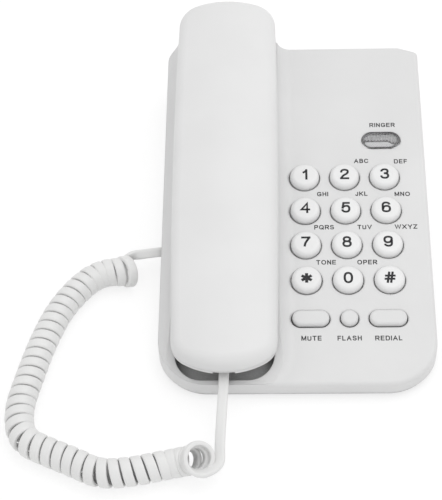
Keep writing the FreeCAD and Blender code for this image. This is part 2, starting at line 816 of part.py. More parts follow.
def box_around(name, x0, x1, width, tall):
    """Block from x0 to x1, centred on y = z = 0."""
    return block(name, x0, x1, "0 - (%s) / 2" % width, "(%s) / 2" % width, "0 - (%s) / 2" % tall, "(%s) / 2" % tall)


def make_jack(label, place, space, height=None):
    """Open-fronted box, on a foot where its height above the table is given."""
    width, tall = space
    wide = width + " + 2 * jack_wall"
    outer = box_around("JackBody", "0", "jack_depth", wide, tall + " + 2 * jack_wall")
    inner = box_around("JackSpace", "0", "jack_depth - jack_wall", width, tall)
    if height:
        foot = block("JackFoot", "jack_wall", "jack_depth - jack_wall", "0 - (%s) / 2" % wide, "(%s) / 2" % wide,
                     "%s - %s" % (FLOOR, height), "0")
        outer = fuse("JackStand", outer, foot)
    jack = cut("Jack", outer, inner)
    jack.Placement = place
    keep(jack, label)


def jack_openings():
    """Windows in the base's walls in front of its two jacks."""
    openings = []
    for place, (width, tall) in ((BASE_JACK, PLUG_SPACE), (LINE_JACK, LINE_SPACE)):
        hole = box_around("JackHole", "0 - drill", "fit_gap", width, tall)
        hole.Placement = place
        openings.append(hole)
    return openings


def make_plugs():
    for label, place in (("base_plug", BASE_JACK), ("handset_plug", HANDSET_JACK)):
        body = box_around("Plug", "0", "plug_length", "plug_width", "plug_height")
        round_edges(body, lambda e: e.BoundBox.XLength > 1, "plug_round")
        latch = sketch_on(body, "XY_Plane", "0 - plug_height / 2")
        polygon(latch, [
            ("latch_start", "0 - latch_width / 2"),
            ("latch_end", "0 - latch_width / 2"),
            ("latch_end", "latch_width / 2"),
            ("latch_start", "latch_width / 2"),
        ])
        pocket(body, latch, "latch_depth", up=True)
        body.Placement = place * Placement(Vector(val("plug_seat"), 0, 0), Rotation())
        keep(body, label)


# Handset
CROWN_SWEEP = 24


def handset_form(name, inset, low, high_drop):
    """Crowned and arched bar with bowed sides and round ends, from its lip upwards."""
    body = new_body(name)
    sketch = sketch_on(body, "XY_Plane", low)
    half = "(handset_width / 2 - (%s))" % inset
    near = "(handset_near + handset_tip + (%s) * 0.6)" % inset
    far = "(handset_far - ear_tip - (%s) * 0.6)" % inset
    left, right = "cradle_x - " + half, "cradle_x + " + half
    mouth, ear = ("(%s - (%s) * 0.4)" % (tip, inset) for tip in ("handset_tip", "ear_tip"))
    polygon(sketch, [(left, near), (right, near), (right, far), (left, far)],
            {0: mouth, 1: "handset_bow", 2: ear, 3: "handset_bow"})
    pad(body, sketch, "handset_blank")
    corner = "handset_corner - (%s)" % inset
    round_edges(body, is_upright, corner)
    profile = sketch_on(body, "XZ_Plane", "0 - ear_start")
    top = "(%s + handset_rise - (%s))" % (LIP, high_drop)
    fall = "(crown_radius - sqrt(crown_radius^2 - crown_half^2))"
    polygon(profile, [
        ("cradle_x + crown_half", "%s - %s" % (top, fall)),
        ("cradle_x + crown_half", "%s + handset_blank" % top),
        ("cradle_x - crown_half", "%s + handset_blank" % top),
        ("cradle_x - crown_half", "%s - %s" % (top, fall)),
    ])
    crown_side = 3
    crown(profile, crown_side, top)
    half = val("crown_half")
    axis = profile.addGeometry(Part.LineSegment(Vector(-half, -1, 0), Vector(half, -1, 0)), True)
    profile.addConstraint(Sketcher.Constraint("Horizontal", axis))
    pin(profile, "DistanceX", (-1, 1, axis, 1), "0 - crown_half")
    pin(profile, "DistanceX", (-1, 1, axis, 2), "crown_half")
    pin(profile, "DistanceY", (-1, 1, axis, 1), "%s - arch_radius" % top)
    before = body.Shape.Volume
    groove = body.newObject("PartDesign::Groove", "Groove")
    groove.Profile = profile
    groove.ReferenceAxis = (profile, ["Axis0"])
    groove.Midplane = True
    groove.Angle = CROWN_SWEEP
    doc.recompute()
    if body.Shape.Volume >= before:
        raise RuntimeError("the handset's crown cuts nothing")
    return body


def crown(profile, side, top):
    """Swaps the profile's lowest side for an arc that rises to the crown line."""
    line = profile.Geometry[side]
    ends = [line.StartPoint, line.EndPoint]
    middle = Vector(val("cradle_x"), val(top), 0)
    profile.delGeometry(side)
    arc = profile.addGeometry(Part.Arc(ends[1], middle, ends[0]))
    profile.addConstraint(Sketcher.Constraint("Coincident", arc, 1, 0, 1))
    profile.addConstraint(Sketcher.Constraint("Coincident", arc, 2, side - 1, 2))
    pin(profile, "Radius", (arc,), "crown_radius")


def make_handset():
    form = handset_form("HandsetForm", "0", LIP, "0")
    low = val(LIP + " + handset_rim")
    round_edges(form, lambda e: e.BoundBox.ZMin > low and not is_upright(e), "handset_roll")
    form.Placement = PANEL
    hollow = handset_form("HandsetHollow", "handset_wall", LIP, "handset_wall + back_extra")
    hollow.Placement = PANEL
    split = "(%s + handset_rim)" % LIP
    above = block("AboveSplit", "0 - reach", "reach", "0 - reach", "reach", split + " + parting_gap", "reach")
    below = block("BelowSplit", "0 - reach", "reach", "0 - reach", "reach", LIP, split)
    for thing in (above, below):
        thing.Placement = PANEL
    back = boolean("Part::Common", "BackForm", form, [above])
    posts = handset_posts("HandsetPost", "boss_radius", "handset_blank", split + " + parting_gap")
    pilots = handset_posts("HandsetPilot", "screw_radius", "handset_pilot", LIP)
    carried = boolean("Part::Common", "PostsInside", fuse("Posts", *posts), [hollow])
    shell = cut("BackShell", fuse("BackPosts", cut("BackHollow", back, hollow), carried), *pilots)
    keep(shell, "handset_back_shell")
    wall = val("handset_wall")
    above = val("handset_rim + 2 * drill / 3")
    outer = fuse("FrontForm", boolean("Part::Common", "Rim", form, [below]),
                 end_block("EarBlock", "ear", 0, 0), end_block("MouthBlock", "mouth", 0, 0))
    insides = [end_block("EarInside", "ear", -wall, -wall, above),
               end_block("MouthInside", "mouth", -wall, -wall, above)]
    holes = sound_holes() + handset_posts("HandsetHole", "screw_radius + fit_gap", "2 * drill", LIP + " - drill")
    front = cut("FrontShell", outer, *insides, *holes, jack_window())
    keep(front, "handset_front_shell")
    make_handset_screws()
    make_capsules()


POST_SPOTS = ("ear_start - post_setback", "mouth_end + post_setback")


def handset_posts(name, radius, length, low):
    posts = [disc(name, radius, length, low, "cradle_x", v) for v in POST_SPOTS]
    for post in posts:
        post.Placement = PANEL
    return posts


def make_handset_screws():
    screws = []
    for v in POST_SPOTS:
        place = on_panel(val("cradle_x"), val(v), val(LIP))
        screws.append(screw("HandsetScrew", "screw_radius", "screw_head", "handset_screw_length",
                            "handset_screw_head", place))
    keep(group("HandsetScrews", screws), "handset_screws")


def sound_spot(end):
    """How far up the panel the receiver or the microphone sits."""
    return val("(ear_start + ear_end) / 2") if end == "ear" else val("mic_v")


def sound_holes():
    """Ring of holes under the receiver and a short row under the microphone."""
    ring, row = val("sound_ring"), val("sound_row")
    spots = [("ear", 0, 0)] + [("mouth", dx, 0) for dx in (-row, 0, row)]
    for sixth in range(6):
        angle = sixth * math.pi / 3
        spots.append(("ear", ring * math.cos(angle), ring * math.sin(angle)))
    holes = []
    for end, dx, dv in spots:
        hole = disc("SoundHole", "sound_hole", "handset_wall * 3", "%s - %s_depth - handset_wall" % (LIP, end))
        hole.Placement = on_panel(val("cradle_x") + dx, sound_spot(end) + dv)
        holes.append(hole)
    return holes


def jack_window():
    """Opening in the mouth end's wall for the handset jack."""
    width, tall = PLUG_SPACE
    edge = "2 * jack_wall + fit_gap"
    hole = box_around("HandsetJackHole", "0 - 2 * drill", "drill", "%s + %s" % (width, edge), "%s + %s" % (tall, edge))
    hole.Placement = HANDSET_JACK
    return hole


def make_capsules():
    ear_floor = "%s - ear_depth + handset_wall + fit_gap" % LIP
    mouth_floor = "%s - mouth_depth + handset_wall + fit_gap" % LIP
    capsule = disc("Receiver", "capsule_radius", "capsule_height", ear_floor)
    round_edges(capsule, lambda e: True, "capsule_round")
    capsule.Placement = on_panel(val("cradle_x"), sound_spot("ear"))
    keep(capsule, "receiver_capsule")
    mic = disc("Microphone", "mic_radius", "mic_height", mouth_floor)
    mic.Placement = on_panel(val("cradle_x"), sound_spot("mouth"))
    keep(mic, "microphone")
    holder = disc("Holder", "mic_radius + mic_wall", "mic_height - mic_proud", mouth_floor)
    sketch = sketch_on(holder, "XY_Plane", mouth_floor + " + mic_height - mic_proud")
    circle(sketch, "0", "0", "mic_radius + fit_gap / 2")
    pocket(holder, sketch, "mic_height")
    holder.Placement = on_panel(val("cradle_x"), sound_spot("mouth"))
    keep(holder, "microphone_holder")
    seat = "(%s + handset_rim + fit_gap)" % LIP
    weight = block("Weight", "0 - weight_width / 2", "weight_width / 2", "0 - weight_length / 2",
                   "weight_length / 2", seat, seat + " + weight_thickness")
    weight.Placement = on_panel(val("cradle_x"), val("(ear_start + mouth_end) / 2"))
    keep(weight, "handset_weight")


# Ringer and hook switch
def make_ringer():
    lens = plate("Lens", lambda s: stadium(s, "lens_length", "lens_width"),
                 "lens_proud + shell_wall", "0 - shell_wall")
    top = val("lens_proud")
    round_edges(lens, lambda e: e.BoundBox.ZMin > top - TINY, "lens_proud * 0.9")
    sketch = sketch_on(lens, "XY_Plane", "0 - shell_wall")
    stadium(sketch, "lens_length + 2 * lens_flange", "lens_width + 2 * lens_flange")
    pad(lens, sketch, "lens_flange", down=True)
    lens.Placement = on_panel(val("lens_x"), val("lens_v"))
    keep(lens, "ringer_lens")
    lamp = disc("Lamp", "lamp_radius", "0 - shell_wall - lens_flange - fit_gap - (%s)" % MAT_BOTTOM, MAT_BOTTOM)
    top = val("0 - shell_wall - lens_flange - fit_gap") - TINY
    round_edges(lamp, lambda e: e.BoundBox.ZMin > top, "lamp_radius * 0.8")
    lamp.Placement = on_panel(val("lens_x"), val("lens_v"))
    keep(lamp, "ringer_led")
    buzzer = disc("Buzzer", "buzzer_radius", "buzzer_height", FLOOR)
    round_edges(buzzer, lambda e: e.BoundBox.ZMin > val(FLOOR) + TINY, "buzzer_round")
    buzzer.Placement.Base = Vector(val("buzzer_x"), Y_FRONT + val("buzzer_v"), 0)
    keep(buzzer, "ringer_buzzer")


def make_hook():
    top = "(%s - plunger_gap)" % LIP
    flange = "(cradle_height - shell_wall - hook_travel - fit_gap)"
    body = disc("Plunger", "plunger_radius", "%s - %s" % (top, flange), flange)
    high = val(top) - TINY
    round_edges(body, lambda e: e.BoundBox.ZMin > high, "plunger_round")
    sketch = sketch_on(body, "XY_Plane", flange)
    circle(sketch, "0", "0", "plunger_flange")
    pad(body, sketch, "plunger_flange_height", down=True)
    body.Placement = on_panel(val("cradle_x"), val("hook_v"))
    keep(body, "hook_plunger")
    radius, wire = val("hook_spring_radius"), val("hook_spring_wire")
    height = val("hook_spring_height")
    low = val(flange + " - plunger_flange_height - hook_spring_play") - height
    helix = Part.makeHelix((height - wire) / val("hook_spring_turns"), height - wire, radius)
    ring = Part.Wire(Part.makeCircle(wire / 2, Vector(radius, 0, 0), Vector(0, 1, 0)))
    spring = doc.addObject("Part::Feature", "Spring")
    spring.Shape = Part.Wire(helix).makePipeShell([ring], True, True)
    spring.Placement = on_panel(val("cradle_x"), val("hook_v"), low + wire / 2)
    keep(spring, "hook_spring")
    foot = PANEL.multVec(Vector(val("cradle_x"), val("hook_v"), low))
    tilt = val("(hook_spring_radius + hook_spring_wire) * sin(panel_slope) + fit_gap / 2")
    switch = doc.addObject("Part::Box", "HookSwitch")
    switch.setExpression("Length", bound("switch_length"))
    switch.setExpression("Width", bound("switch_width"))
    switch.Height = foot.z - tilt - val(FLOOR)
    switch.Placement.Base = Vector(foot.x - val("switch_length / 2"), foot.y - val("switch_width / 2"), val(FLOOR))
    keep(switch, "hook_switch")
    ballast = block("Ballast", "0 - ballast_width / 2", "ballast_width / 2", "0 - ballast_length / 2",
                    "ballast_length / 2", FLOOR, FLOOR + " + ballast_thickness")
    ballast.Placement.Base = Vector(val("ballast_x"), Y_FRONT + val("ballast_v"), 0)
    keep(ballast, "ballast_plate")


# Curly cord
COIL_ROUTE = [(-84, -36.6, 7.4), (-92, -36.2, 7.4), (-101, -39.5, 7.4), (-110, -49, 7.4), (-118.5, -63, 7.4),
              (-125, -83, 7.4), (-129.5, -103, 7.4), (-133, -121, 7.4), (-130, -137, 7.4), (-117.5, -143.5, 7.4),
              (-104, -149.5, 7.4), (-92, -156, 7.4), (-76, -154.5, 7.4), (-63, -152.3, 7.4), (-53.5, -150, 7.8),
              (-47.5, -150.6, 11.5)]
START_ANGLE = -math.pi / 2
QUARTERS = 4


def smooth_line(points):
    """Quadratic curve drawn by its control points, ending at the first and last."""
    count = len(points)
    inner = count - 3
    knots = [0.0] + [i + 1.0 for i in range(inner)] + [inner + 1.0]
    folds = [3] + [1] * inner + [3]
    curve = Part.BSplineCurve()
    curve.buildFromPolesMultsKnots([Vector(*p) for p in points], folds, knots, False, 2)
    return curve


def biarc(start, start_way, end, end_way):
    """Two tangent arcs from one point and direction to another."""
    chord = end - start
    ways = start_way + end_way
    a = 2 * (1 - start_way.dot(end_way))
    b = 2 * chord.dot(ways)
    c = -chord.dot(chord)
    reach = (-b + math.sqrt(b * b - 4 * a * c)) / (2 * a) if a > 1e-9 else -c / b
    first = start + start_way * reach
    last = end - end_way * reach
    join = (first + last) / 2
    return [arc_from(start, start_way, join), arc_from(join, (last - first).normalize(), end)]


def arc_from(start, way, end):
    """Arc that leaves start along way and reaches end."""
    chord = end - start
    side = way.cross(chord).cross(way)
    if side.Length < 1e-7:
        return Part.LineSegment(start, end)
    side.normalize()
    radius = chord.dot(chord) / (2 * chord.dot(side))
    centre = start + side * radius
    middle = (start + end) / 2 - centre
    return Part.Arc(start, centre + middle.normalize() * abs(radius), end)


def helix_points(steps):
    """Points of the curls, evenly spaced along the route, with a frame that doesn't twist."""
    curve = smooth_line(COIL_ROUTE)
    length = curve.length()
    turns = val("coil_turns")
    radius = val("coil_radius")
    count = int(round(turns * steps))
    points = []
    for i in range(count + 1):
        spot = curve.parameterAtDistance(length * i / count, curve.FirstParameter)
        along = curve.tangent(spot)[0].normalize()
        side = Vector(0, 0, 1).cross(along).normalize()
        up = along.cross(side)
        angle = START_ANGLE - 2 * math.pi * (i / steps)
        points.append(curve.value(spot) + (up * math.cos(angle) + side * math.sin(angle)) * radius)
    return points


def tube(path, section, start, way):
    """Round tube along a path, in the path's own frame."""
    ring = Part.Wire(Part.makeCircle(section / 2, start, way))
    shell = Part.BRepOffsetAPI.MakePipeShell(path)
    shell.add(ring)
    shell.build()
    shell.makeSolid()
    return shell.shape()


def make_coil():
    fine = 48
    dense = helix_points(QUARTERS * fine)
    stops = dense[::fine]
    ways = []
    for i in range(len(stops)):
        before = dense[max(i * fine - 1, 0)]
        after = dense[min(i * fine + 1, len(dense) - 1)]
        ways.append((after - before).normalize())
    wire = val("cord_wire")
    edges = [Part.LineSegment(stops[0] - ways[0] * wire, stops[0])]
    for i in range(len(stops) - 1):
        edges += biarc(stops[i], ways[i], stops[i + 1], ways[i + 1])
    edges.append(Part.LineSegment(stops[-1], stops[-1] + ways[-1] * wire))
    path = Part.Wire([e.toShape() for e in edges])
    shape = tube(path, wire, stops[0] - ways[0] * wire, ways[0])
    thing = doc.addObject("Part::Feature", "Coil")
    thing.Shape = shape
    keep(thing, "coiled_cord")
    expected = math.pi * wire ** 2 / 4 * path.Length
    print("coil length %.0f, volume over section times length %.4f" % (path.Length, shape.Volume / expected))
    print("coil's least gap to itself %.2f" % least_gap(dense, QUARTERS * fine, wire))
    print("coil's lowest point %.2f" % min(p.z for p in shape.tessellate(0.05)[0]))
    return (stops[0] - ways[0] * wire, ways[0] * -1), (stops[-1] + ways[-1] * wire, ways[-1])


def least_gap(points, per_turn, wire):
    """Smallest distance between neighbouring curls, less the wire."""
    least = 1e9
    for i in range(0, len(points), 4):
        for j in range(i + per_turn // 2, min(i + 3 * per_turn // 2, len(points)), 4):
            least = min(least, (points[i] - points[j]).Length)
    return least - wire


def tail(label, points):
    """Tube along straight runs with the largest arcs between them."""
    wire = val("cord_wire")
    spots = [Vector(*p) for p in points]
    edges = []
    here = spots[0]
    for before, corner, after in zip(spots, spots[1:], spots[2:]):
        into = corner - before
        out = after - corner
        turn = into.getAngle(out)
        back = 0.45 * min(into.Length, out.Length)
        print("%s turns %.0f degrees, radius %.1f" % (label, math.degrees(turn), back / math.tan(turn / 2)))
        into = into.normalize()
        out = out.normalize()
        first, last = corner - into * back, corner + out * back
        edges.append(Part.LineSegment(here, first))
        edges.append(arc_from(first, into, last))
        here = last
    edges.append(Part.LineSegment(here, spots[-1]))
    path = Part.Wire([e.toShape() for e in edges])
    thing = doc.addObject("Part::Feature", label)
    thing.Shape = tube(path, wire, spots[0], spots[1] - spots[0])
    keep(thing, label)
    expected = math.pi * wire ** 2 / 4 * path.Length
    print("%s length %.1f, volume ratio %.4f" % (label, path.Length, thing.Shape.Volume / expected))


def make_cord():
    (base_end, base_way), (far_end, far_way) = make_coil()
    plug = BASE_JACK.multVec(Vector(val("plug_seat"), 0, 0))
    bend = base_end + base_way * 3
    tail("cord_base_tail", [plug, plug + Vector(-5, 0, 0), plug + Vector(-10.2, -1.2, 2),
                            bend + Vector(3, 0.2, 2.4), bend, base_end])
    plug = HANDSET_JACK.multVec(Vector(val("plug_seat"), 0, 0))
    leave = PANEL.Rotation.multVec(Vector(0, -1, 0))
    tail("cord_handset_tail", [plug, plug + leave * 8.5, plug + leave * 18 + Vector(0, 0, -2),
                               plug + Vector(-0.5, -31, -10.3), far_end + far_way * 7, far_end])


make_base()
make_lower_shell()
make_base_screws()
make_feet()
make_board()
make_board_screws()
make_mat()
make_keys()
make_ringer()
make_hook()
make_jack("base_cord_jack", BASE_JACK, PLUG_SPACE, "base_jack_height")
make_jack("line_jack", LINE_JACK, LINE_SPACE, LINE_HEIGHT)
make_jack("handset_jack", HANDSET_JACK, PLUG_SPACE)
make_plugs()
make_handset()
make_cord()

doc.recompute()
for thing in doc.Objects:
    if "Invalid" in thing.State or "Error" in thing.State:
        raise RuntimeError("%s failed: %s" % (thing.Name, thing.State))
for part in PARTS:
    if part.Shape.isNull() or not part.Shape.isValid() or part.Shape.Volume < TINY:
        raise RuntimeError("%s has a bad shape" % part.Label)
os.makedirs("parts", exist_ok=True)
for part in PARTS:
    part.Shape.exportStep("parts/%s.step" % part.Label)
print("%d sub-parts written" % len(PARTS))
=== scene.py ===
import json
import math
import bpy
from mathutils import Matrix, Vector


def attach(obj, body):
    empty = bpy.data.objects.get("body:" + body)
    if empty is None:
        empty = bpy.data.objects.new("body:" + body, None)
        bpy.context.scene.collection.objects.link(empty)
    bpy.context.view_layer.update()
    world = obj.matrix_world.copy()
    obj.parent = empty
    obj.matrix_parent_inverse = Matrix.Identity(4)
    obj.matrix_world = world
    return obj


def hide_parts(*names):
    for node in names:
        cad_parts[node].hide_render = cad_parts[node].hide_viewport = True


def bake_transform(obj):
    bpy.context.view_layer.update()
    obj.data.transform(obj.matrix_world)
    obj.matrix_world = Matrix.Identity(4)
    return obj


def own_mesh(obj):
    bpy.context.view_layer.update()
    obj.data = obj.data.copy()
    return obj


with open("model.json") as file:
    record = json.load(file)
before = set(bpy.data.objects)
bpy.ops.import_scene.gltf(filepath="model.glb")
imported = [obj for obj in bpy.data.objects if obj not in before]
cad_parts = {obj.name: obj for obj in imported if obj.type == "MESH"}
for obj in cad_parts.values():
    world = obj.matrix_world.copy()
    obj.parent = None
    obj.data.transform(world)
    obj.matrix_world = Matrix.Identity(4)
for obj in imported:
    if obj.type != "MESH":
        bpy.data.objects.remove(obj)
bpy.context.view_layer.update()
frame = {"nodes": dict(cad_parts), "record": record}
nodes = frame["nodes"]
scene = bpy.context.scene
MM = 0.001

# Panel frame in millimetres: x across, v up the panel from the front wall, w out of it
SLOPE = math.radians(6)
PANEL_ORIGIN = (0, -0.10944, 0.011)
PANEL = Matrix.Translation(PANEL_ORIGIN) @ Matrix.Rotation(SLOPE, 4, "X")


def on_panel(x, v, w=0.0):
    return PANEL @ Vector((x * MM, v * MM, w * MM))


# Meshes
def add_mesh(name, verts, faces, *materials):
    mesh = bpy.data.meshes.new(name)
    mesh.from_pydata(verts, [], faces)
    for material in materials:
        mesh.materials.append(material)
    piece = bpy.data.objects.new(name, mesh)
    scene.collection.objects.link(piece)
    return piece


def ring_faces(count, size, join=False):
    """Faces through a row of rings, with end faces or joined from the last ring to the first."""
    faces = []
    for i in range(count if join else count - 1):
        a, b = i * size, (i + 1) % count * size
        faces += [(a + j, a + (j + 1) % size, b + (j + 1) % size, b + j) for j in range(size)]
    if not join:
        faces.append(tuple(reversed(range(size))))
        faces.append(tuple(range((count - 1) * size, count * size)))
    return faces


def circle(sides, offset=0.0):
    """Cosine and sine at even steps of a whole turn."""
    angles = [2 * math.pi * (i + offset) / sides for i in range(sides)]
    return [(math.cos(angle), math.sin(angle)) for angle in angles]


# Camera, solved from the grid of keys
CAMERA_PLACE = (-0.0089, -0.53753, 0.64249)
CAMERA_RIGHT = (0.99932, 0.01518, -0.03362)
CAMERA_UP = (0.00933, 0.77764, 0.62864)
CAMERA_BACK = (0.03568, -0.62853, 0.77697)
SENSOR_HEIGHT, FOCAL_LENGTH, NEAREST = 36, 115.2, 0.01


def add_camera():
    data = bpy.data.cameras.new("camera")
    data.sensor_fit = "VERTICAL"
    data.sensor_height = SENSOR_HEIGHT
    data.lens = FOCAL_LENGTH
    data.clip_start = NEAREST
    camera = bpy.data.objects.new("camera", data)
    turn = Matrix((CAMERA_RIGHT, CAMERA_UP, CAMERA_BACK)).transposed().to_4x4()
    camera.matrix_world = Matrix.Translation(CAMERA_PLACE) @ turn
    scene.collection.objects.link(camera)
    scene.camera = camera


add_camera()

# Materials: the shade painted into hollows reaches a distance given in metres, and a shade runs
# from dark to light between its stops
PAINTED_SHADE_REACH, PAINTED_SHADE_OPEN, PAINTED_SHADE_DARKEST = 0.02, 0.36, 0.1
SHADE_STOPS = (0.3, 0.7)
SOFT_EDGE = 0.0008


class Nodes:
    """Short ways to add nodes to one material."""

    def __init__(self, name):
        self.material = bpy.data.materials.new(name)
        self.material.use_nodes = True
        self.tree = self.material.node_tree
        self.shader = self.tree.nodes["Principled BSDF"]
        self.coords = self.tree.nodes.new("ShaderNodeTexCoord")

    def add(self, kind, **settings):
        node = self.tree.nodes.new(kind)
        for key, value in settings.items():
            setattr(node, key, value)
        return node

    def link(self, output, socket):
        self.tree.links.new(output, socket)

    def set(self, **values):
        for key, value in values.items():
            self.shader.inputs[key.replace("_", " ")].default_value = value

    def surface(self, colour, roughness):
        self.link(colour, self.shader.inputs["Base Color"])
        self.link(roughness, self.shader.inputs["Roughness"])

    def noise(self, scale, detail=2.0):
        node = self.add("ShaderNodeTexNoise")
        node.inputs["Scale"].default_value = scale
        node.inputs["Detail"].default_value = detail
        self.link(self.coords.outputs["Object"], node.inputs["Vector"])
        return node.outputs["Fac"]

    def shade(self, factor, dark, light):
        node = self.add("ShaderNodeValToRGB")
        for element, place, colour in zip(node.color_ramp.elements, SHADE_STOPS, (dark, light)):
            element.position = place
            element.color = (*colour, 1)
        self.link(factor, node.inputs["Fac"])
        return node.outputs["Color"]

    def spread(self, factor, low, high):
        node = self.add("ShaderNodeMapRange")
        node.inputs["To Min"].default_value = low
        node.inputs["To Max"].default_value = high
        self.link(factor, node.inputs["Value"])
        return node.outputs["Result"]

    def painted_hollow_shade(self, colour):
        """The colour with shade painted in, darker where a hollow closes round the surface."""
        open_sky = self.add("ShaderNodeAmbientOcclusion", samples=8)
        open_sky.inputs["Distance"].default_value = PAINTED_SHADE_REACH
        share = self.add("ShaderNodeMapRange")
        share.inputs["From Max"].default_value = PAINTED_SHADE_OPEN
        share.inputs["To Min"].default_value = PAINTED_SHADE_DARKEST
        mix = self.add("ShaderNodeVectorMath", operation="SCALE")
        self.link(open_sky.outputs["AO"], share.inputs["Value"])
        self.link(colour, mix.inputs[0])
        self.link(share.outputs["Result"], mix.inputs["Scale"])
        return mix.outputs["Vector"]

    def bump(self, height, distance, edge=0.0):
        node = self.add("ShaderNodeBump")
        node.inputs["Distance"].default_value = distance
        self.link(height, node.inputs["Height"])
        if edge:
            soft = self.add("ShaderNodeBevel", samples=4)
            soft.inputs["Radius"].default_value = edge
            self.link(soft.outputs["Normal"], node.inputs["Normal"])
        self.link(node.outputs["Normal"], self.shader.inputs["Normal"])


def tone(colour, factor):
    return tuple(c * factor for c in colour)


def moulded(name, colour, rough, grain=1800.0, depth=0.00001, vary=0.02, edge=0.0, paint_hollow_shade=False):
    """Moulded plastic with a fine grain and faint clouds of colour and gloss.

    An edge radius softens its edges, and a flag darkens its colour in hollows as painted shade.
    """
    n = Nodes(name)
    n.set(IOR=1.48)
    cloud, gloss = n.noise(28.0, 3.0), n.noise(160.0)
    shade = n.shade(cloud, tone(colour, 1 - vary), tone(colour, 1 + vary))
    # Painted shade: with the flag set, the colour darkens in hollows
    n.surface(n.painted_hollow_shade(shade) if paint_hollow_shade else shade, n.spread(gloss, rough - 0.05, rough + 0.05))
    n.bump(n.noise(grain), depth, edge)
    return n.material


def clear(name, colour, rough, grain):
    """Clear moulded plastic with faint flow lines."""
    n = Nodes(name)
    n.set(Transmission_Weight=1.0, IOR=1.49)
    cloud, gloss, flow = n.noise(60.0), n.noise(300.0), n.noise(grain, 1.0)
    n.surface(n.shade(cloud, tone(colour, 0.96), colour), n.spread(gloss, rough, rough + 0.04))
    n.bump(flow, 0.00003)
    return n.material


def metal(name, colour, rough):
    """Plated or cast metal with fine scratches."""
    n = Nodes(name)
    n.set(Metallic=1.0)
    stain, gloss, scratches = n.noise(220.0, 4.0), n.noise(600.0, 3.0), n.noise(2500.0)
    n.surface(n.shade(stain, tone(colour, 0.85), colour),
              n.spread(gloss, rough - 0.08, rough + 0.1))
    n.bump(scratches, 0.00001)
    return n.material


def board_material():
    """Green lacquer over copper tracks."""
    n = Nodes("board_lacquer")
    tracks = n.add("ShaderNodeTexBrick")
    tracks.inputs["Scale"].default_value = 90.0
    tracks.inputs["Mortar Size"].default_value = 0.03
    tracks.inputs["Color1"].default_value = (0.03, 0.22, 0.09, 1)
    tracks.inputs["Color2"].default_value = (0.025, 0.18, 0.075, 1)
    tracks.inputs["Mortar"].default_value = (0.06, 0.33, 0.14, 1)
    n.link(n.coords.outputs["Object"], tracks.inputs["Vector"])
    n.surface(tracks.outputs["Color"], n.spread(n.noise(400.0), 0.28, 0.4))
    n.bump(tracks.outputs["Fac"], 0.00003)
    return n.material


MATERIALS = {
    # white_shell has shade painted into its hollows
    "white_shell": moulded("white_shell", (0.7, 0.7, 0.7), 0.42, edge=SOFT_EDGE, paint_hollow_shade=True),
    "white_key": moulded("white_key", (0.79, 0.79, 0.79), 0.38),
    "white_cord": moulded("white_cord", (0.77, 0.77, 0.765), 0.45, 900.0, 0.000015),
    "clear_lens": clear("clear_lens", (0.92, 0.92, 0.93), 0.0, 60.0),
    "clear_plug": clear("clear_plug", (0.88, 0.89, 0.9), 0.08, 300.0),
    "grey_rubber": moulded("grey_rubber", (0.2, 0.2, 0.21), 0.75, 1200.0, 0.00003, 0.06),
    "pale_rubber": moulded("pale_rubber", (0.66, 0.66, 0.64), 0.7, 1200.0, 0.00002, 0.04),
    "green_board": board_material(),
    "red_lamp": moulded("red_lamp", (0.7, 0.07, 0.05), 0.15, 400.0, 0.000005, 0.08),
    "black_plastic": moulded("black_plastic", (0.04, 0.04, 0.043), 0.5, 1500.0, 0.00002, 0.1),
    "steel": metal("steel", (0.62, 0.62, 0.63), 0.32),
    "grey_iron": metal("grey_iron", (0.33, 0.33, 0.34), 0.6),
    "alu_can": metal("alu_can", (0.78, 0.78, 0.79), 0.28),
}
# The handset's shells also have shade painted into their hollows
WHITE_HANDSET = moulded("white_handset", (0.74, 0.74, 0.74), 0.42, edge=SOFT_EDGE, paint_hollow_shade=True)
INK = moulded("label_ink", (0.014, 0.014, 0.016), 0.7, 2600.0, 0.000004, 0.12)
# Painted light in the ringer window: grey far slope and dark trough as painted reflections, a
# painted highlight on the near slope, and a dark wall as painted shade
FAR_PAINTED_REFLECTION = moulded("far_painted_reflection", (0.55, 0.55, 0.55), 0.3, 900.0, 0.00002, 0.15)
TROUGH_PAINTED_DARK = moulded("trough_painted_dark", (0.09, 0.09, 0.09), 0.35, 900.0, 0.00002, 0.3)
NEAR_PAINTED_HIGHLIGHT = moulded("near_painted_highlight", (0.88, 0.88, 0.88), 0.2, 900.0, 0.00002, 0.1)
WALL_PAINTED_SHADE = moulded("wall_painted_shade", (0.1, 0.1, 0.1), 0.4, 900.0, 0.00002, 0.2)
HANDSET_SHELLS = ("handset_back_shell", "handset_front_shell")
FUNCTION_BUTTONS = ("mute_button", "flash_button", "redial_button")


def dress_nodes():
    """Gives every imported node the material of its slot, with a tone of their own for some."""
    for part in frame["record"]["subparts"]:
        node = nodes[part["node"]]
        node.data.materials.clear()
        node.data.materials.append(MATERIALS[part["material_slot"]])
    for name in HANDSET_SHELLS:
        nodes[name].data.materials[0] = WHITE_HANDSET
    for name in FUNCTION_BUTTONS:
        nodes[name].data.materials[0] = MATERIALS["white_shell"]


dress_nodes()

# Curly cord: a flat ribbon wound around the route's spline, in millimetres
COIL_ROUTE = [
    (-83, -38.4, 9.3), (-91, -37.2, 7.6), (-101, -39.5, 7.4), (-110, -49, 7.4),
    (-118.5, -63, 7.4), (-125, -83, 7.4), (-129.5, -103, 7.4), (-133, -121, 7.4),
    (-130, -137, 7.4), (-117.5, -143.5, 7.4), (-104, -149.5, 7.4), (-92, -156, 7.4),
    (-76, -154.5, 7.4), (-66, -152, 7.4), (-58.5, -150.4, 7.4), (-52, -149.2, 7.8),
    (-48, -149.4, 9.8), (-45.2, -151.6, 14.4),
]
ROUTE_FINENESS = 24
TURNS, PER_TURN = 41.26, 40
START_ANGLE = -math.pi / 2

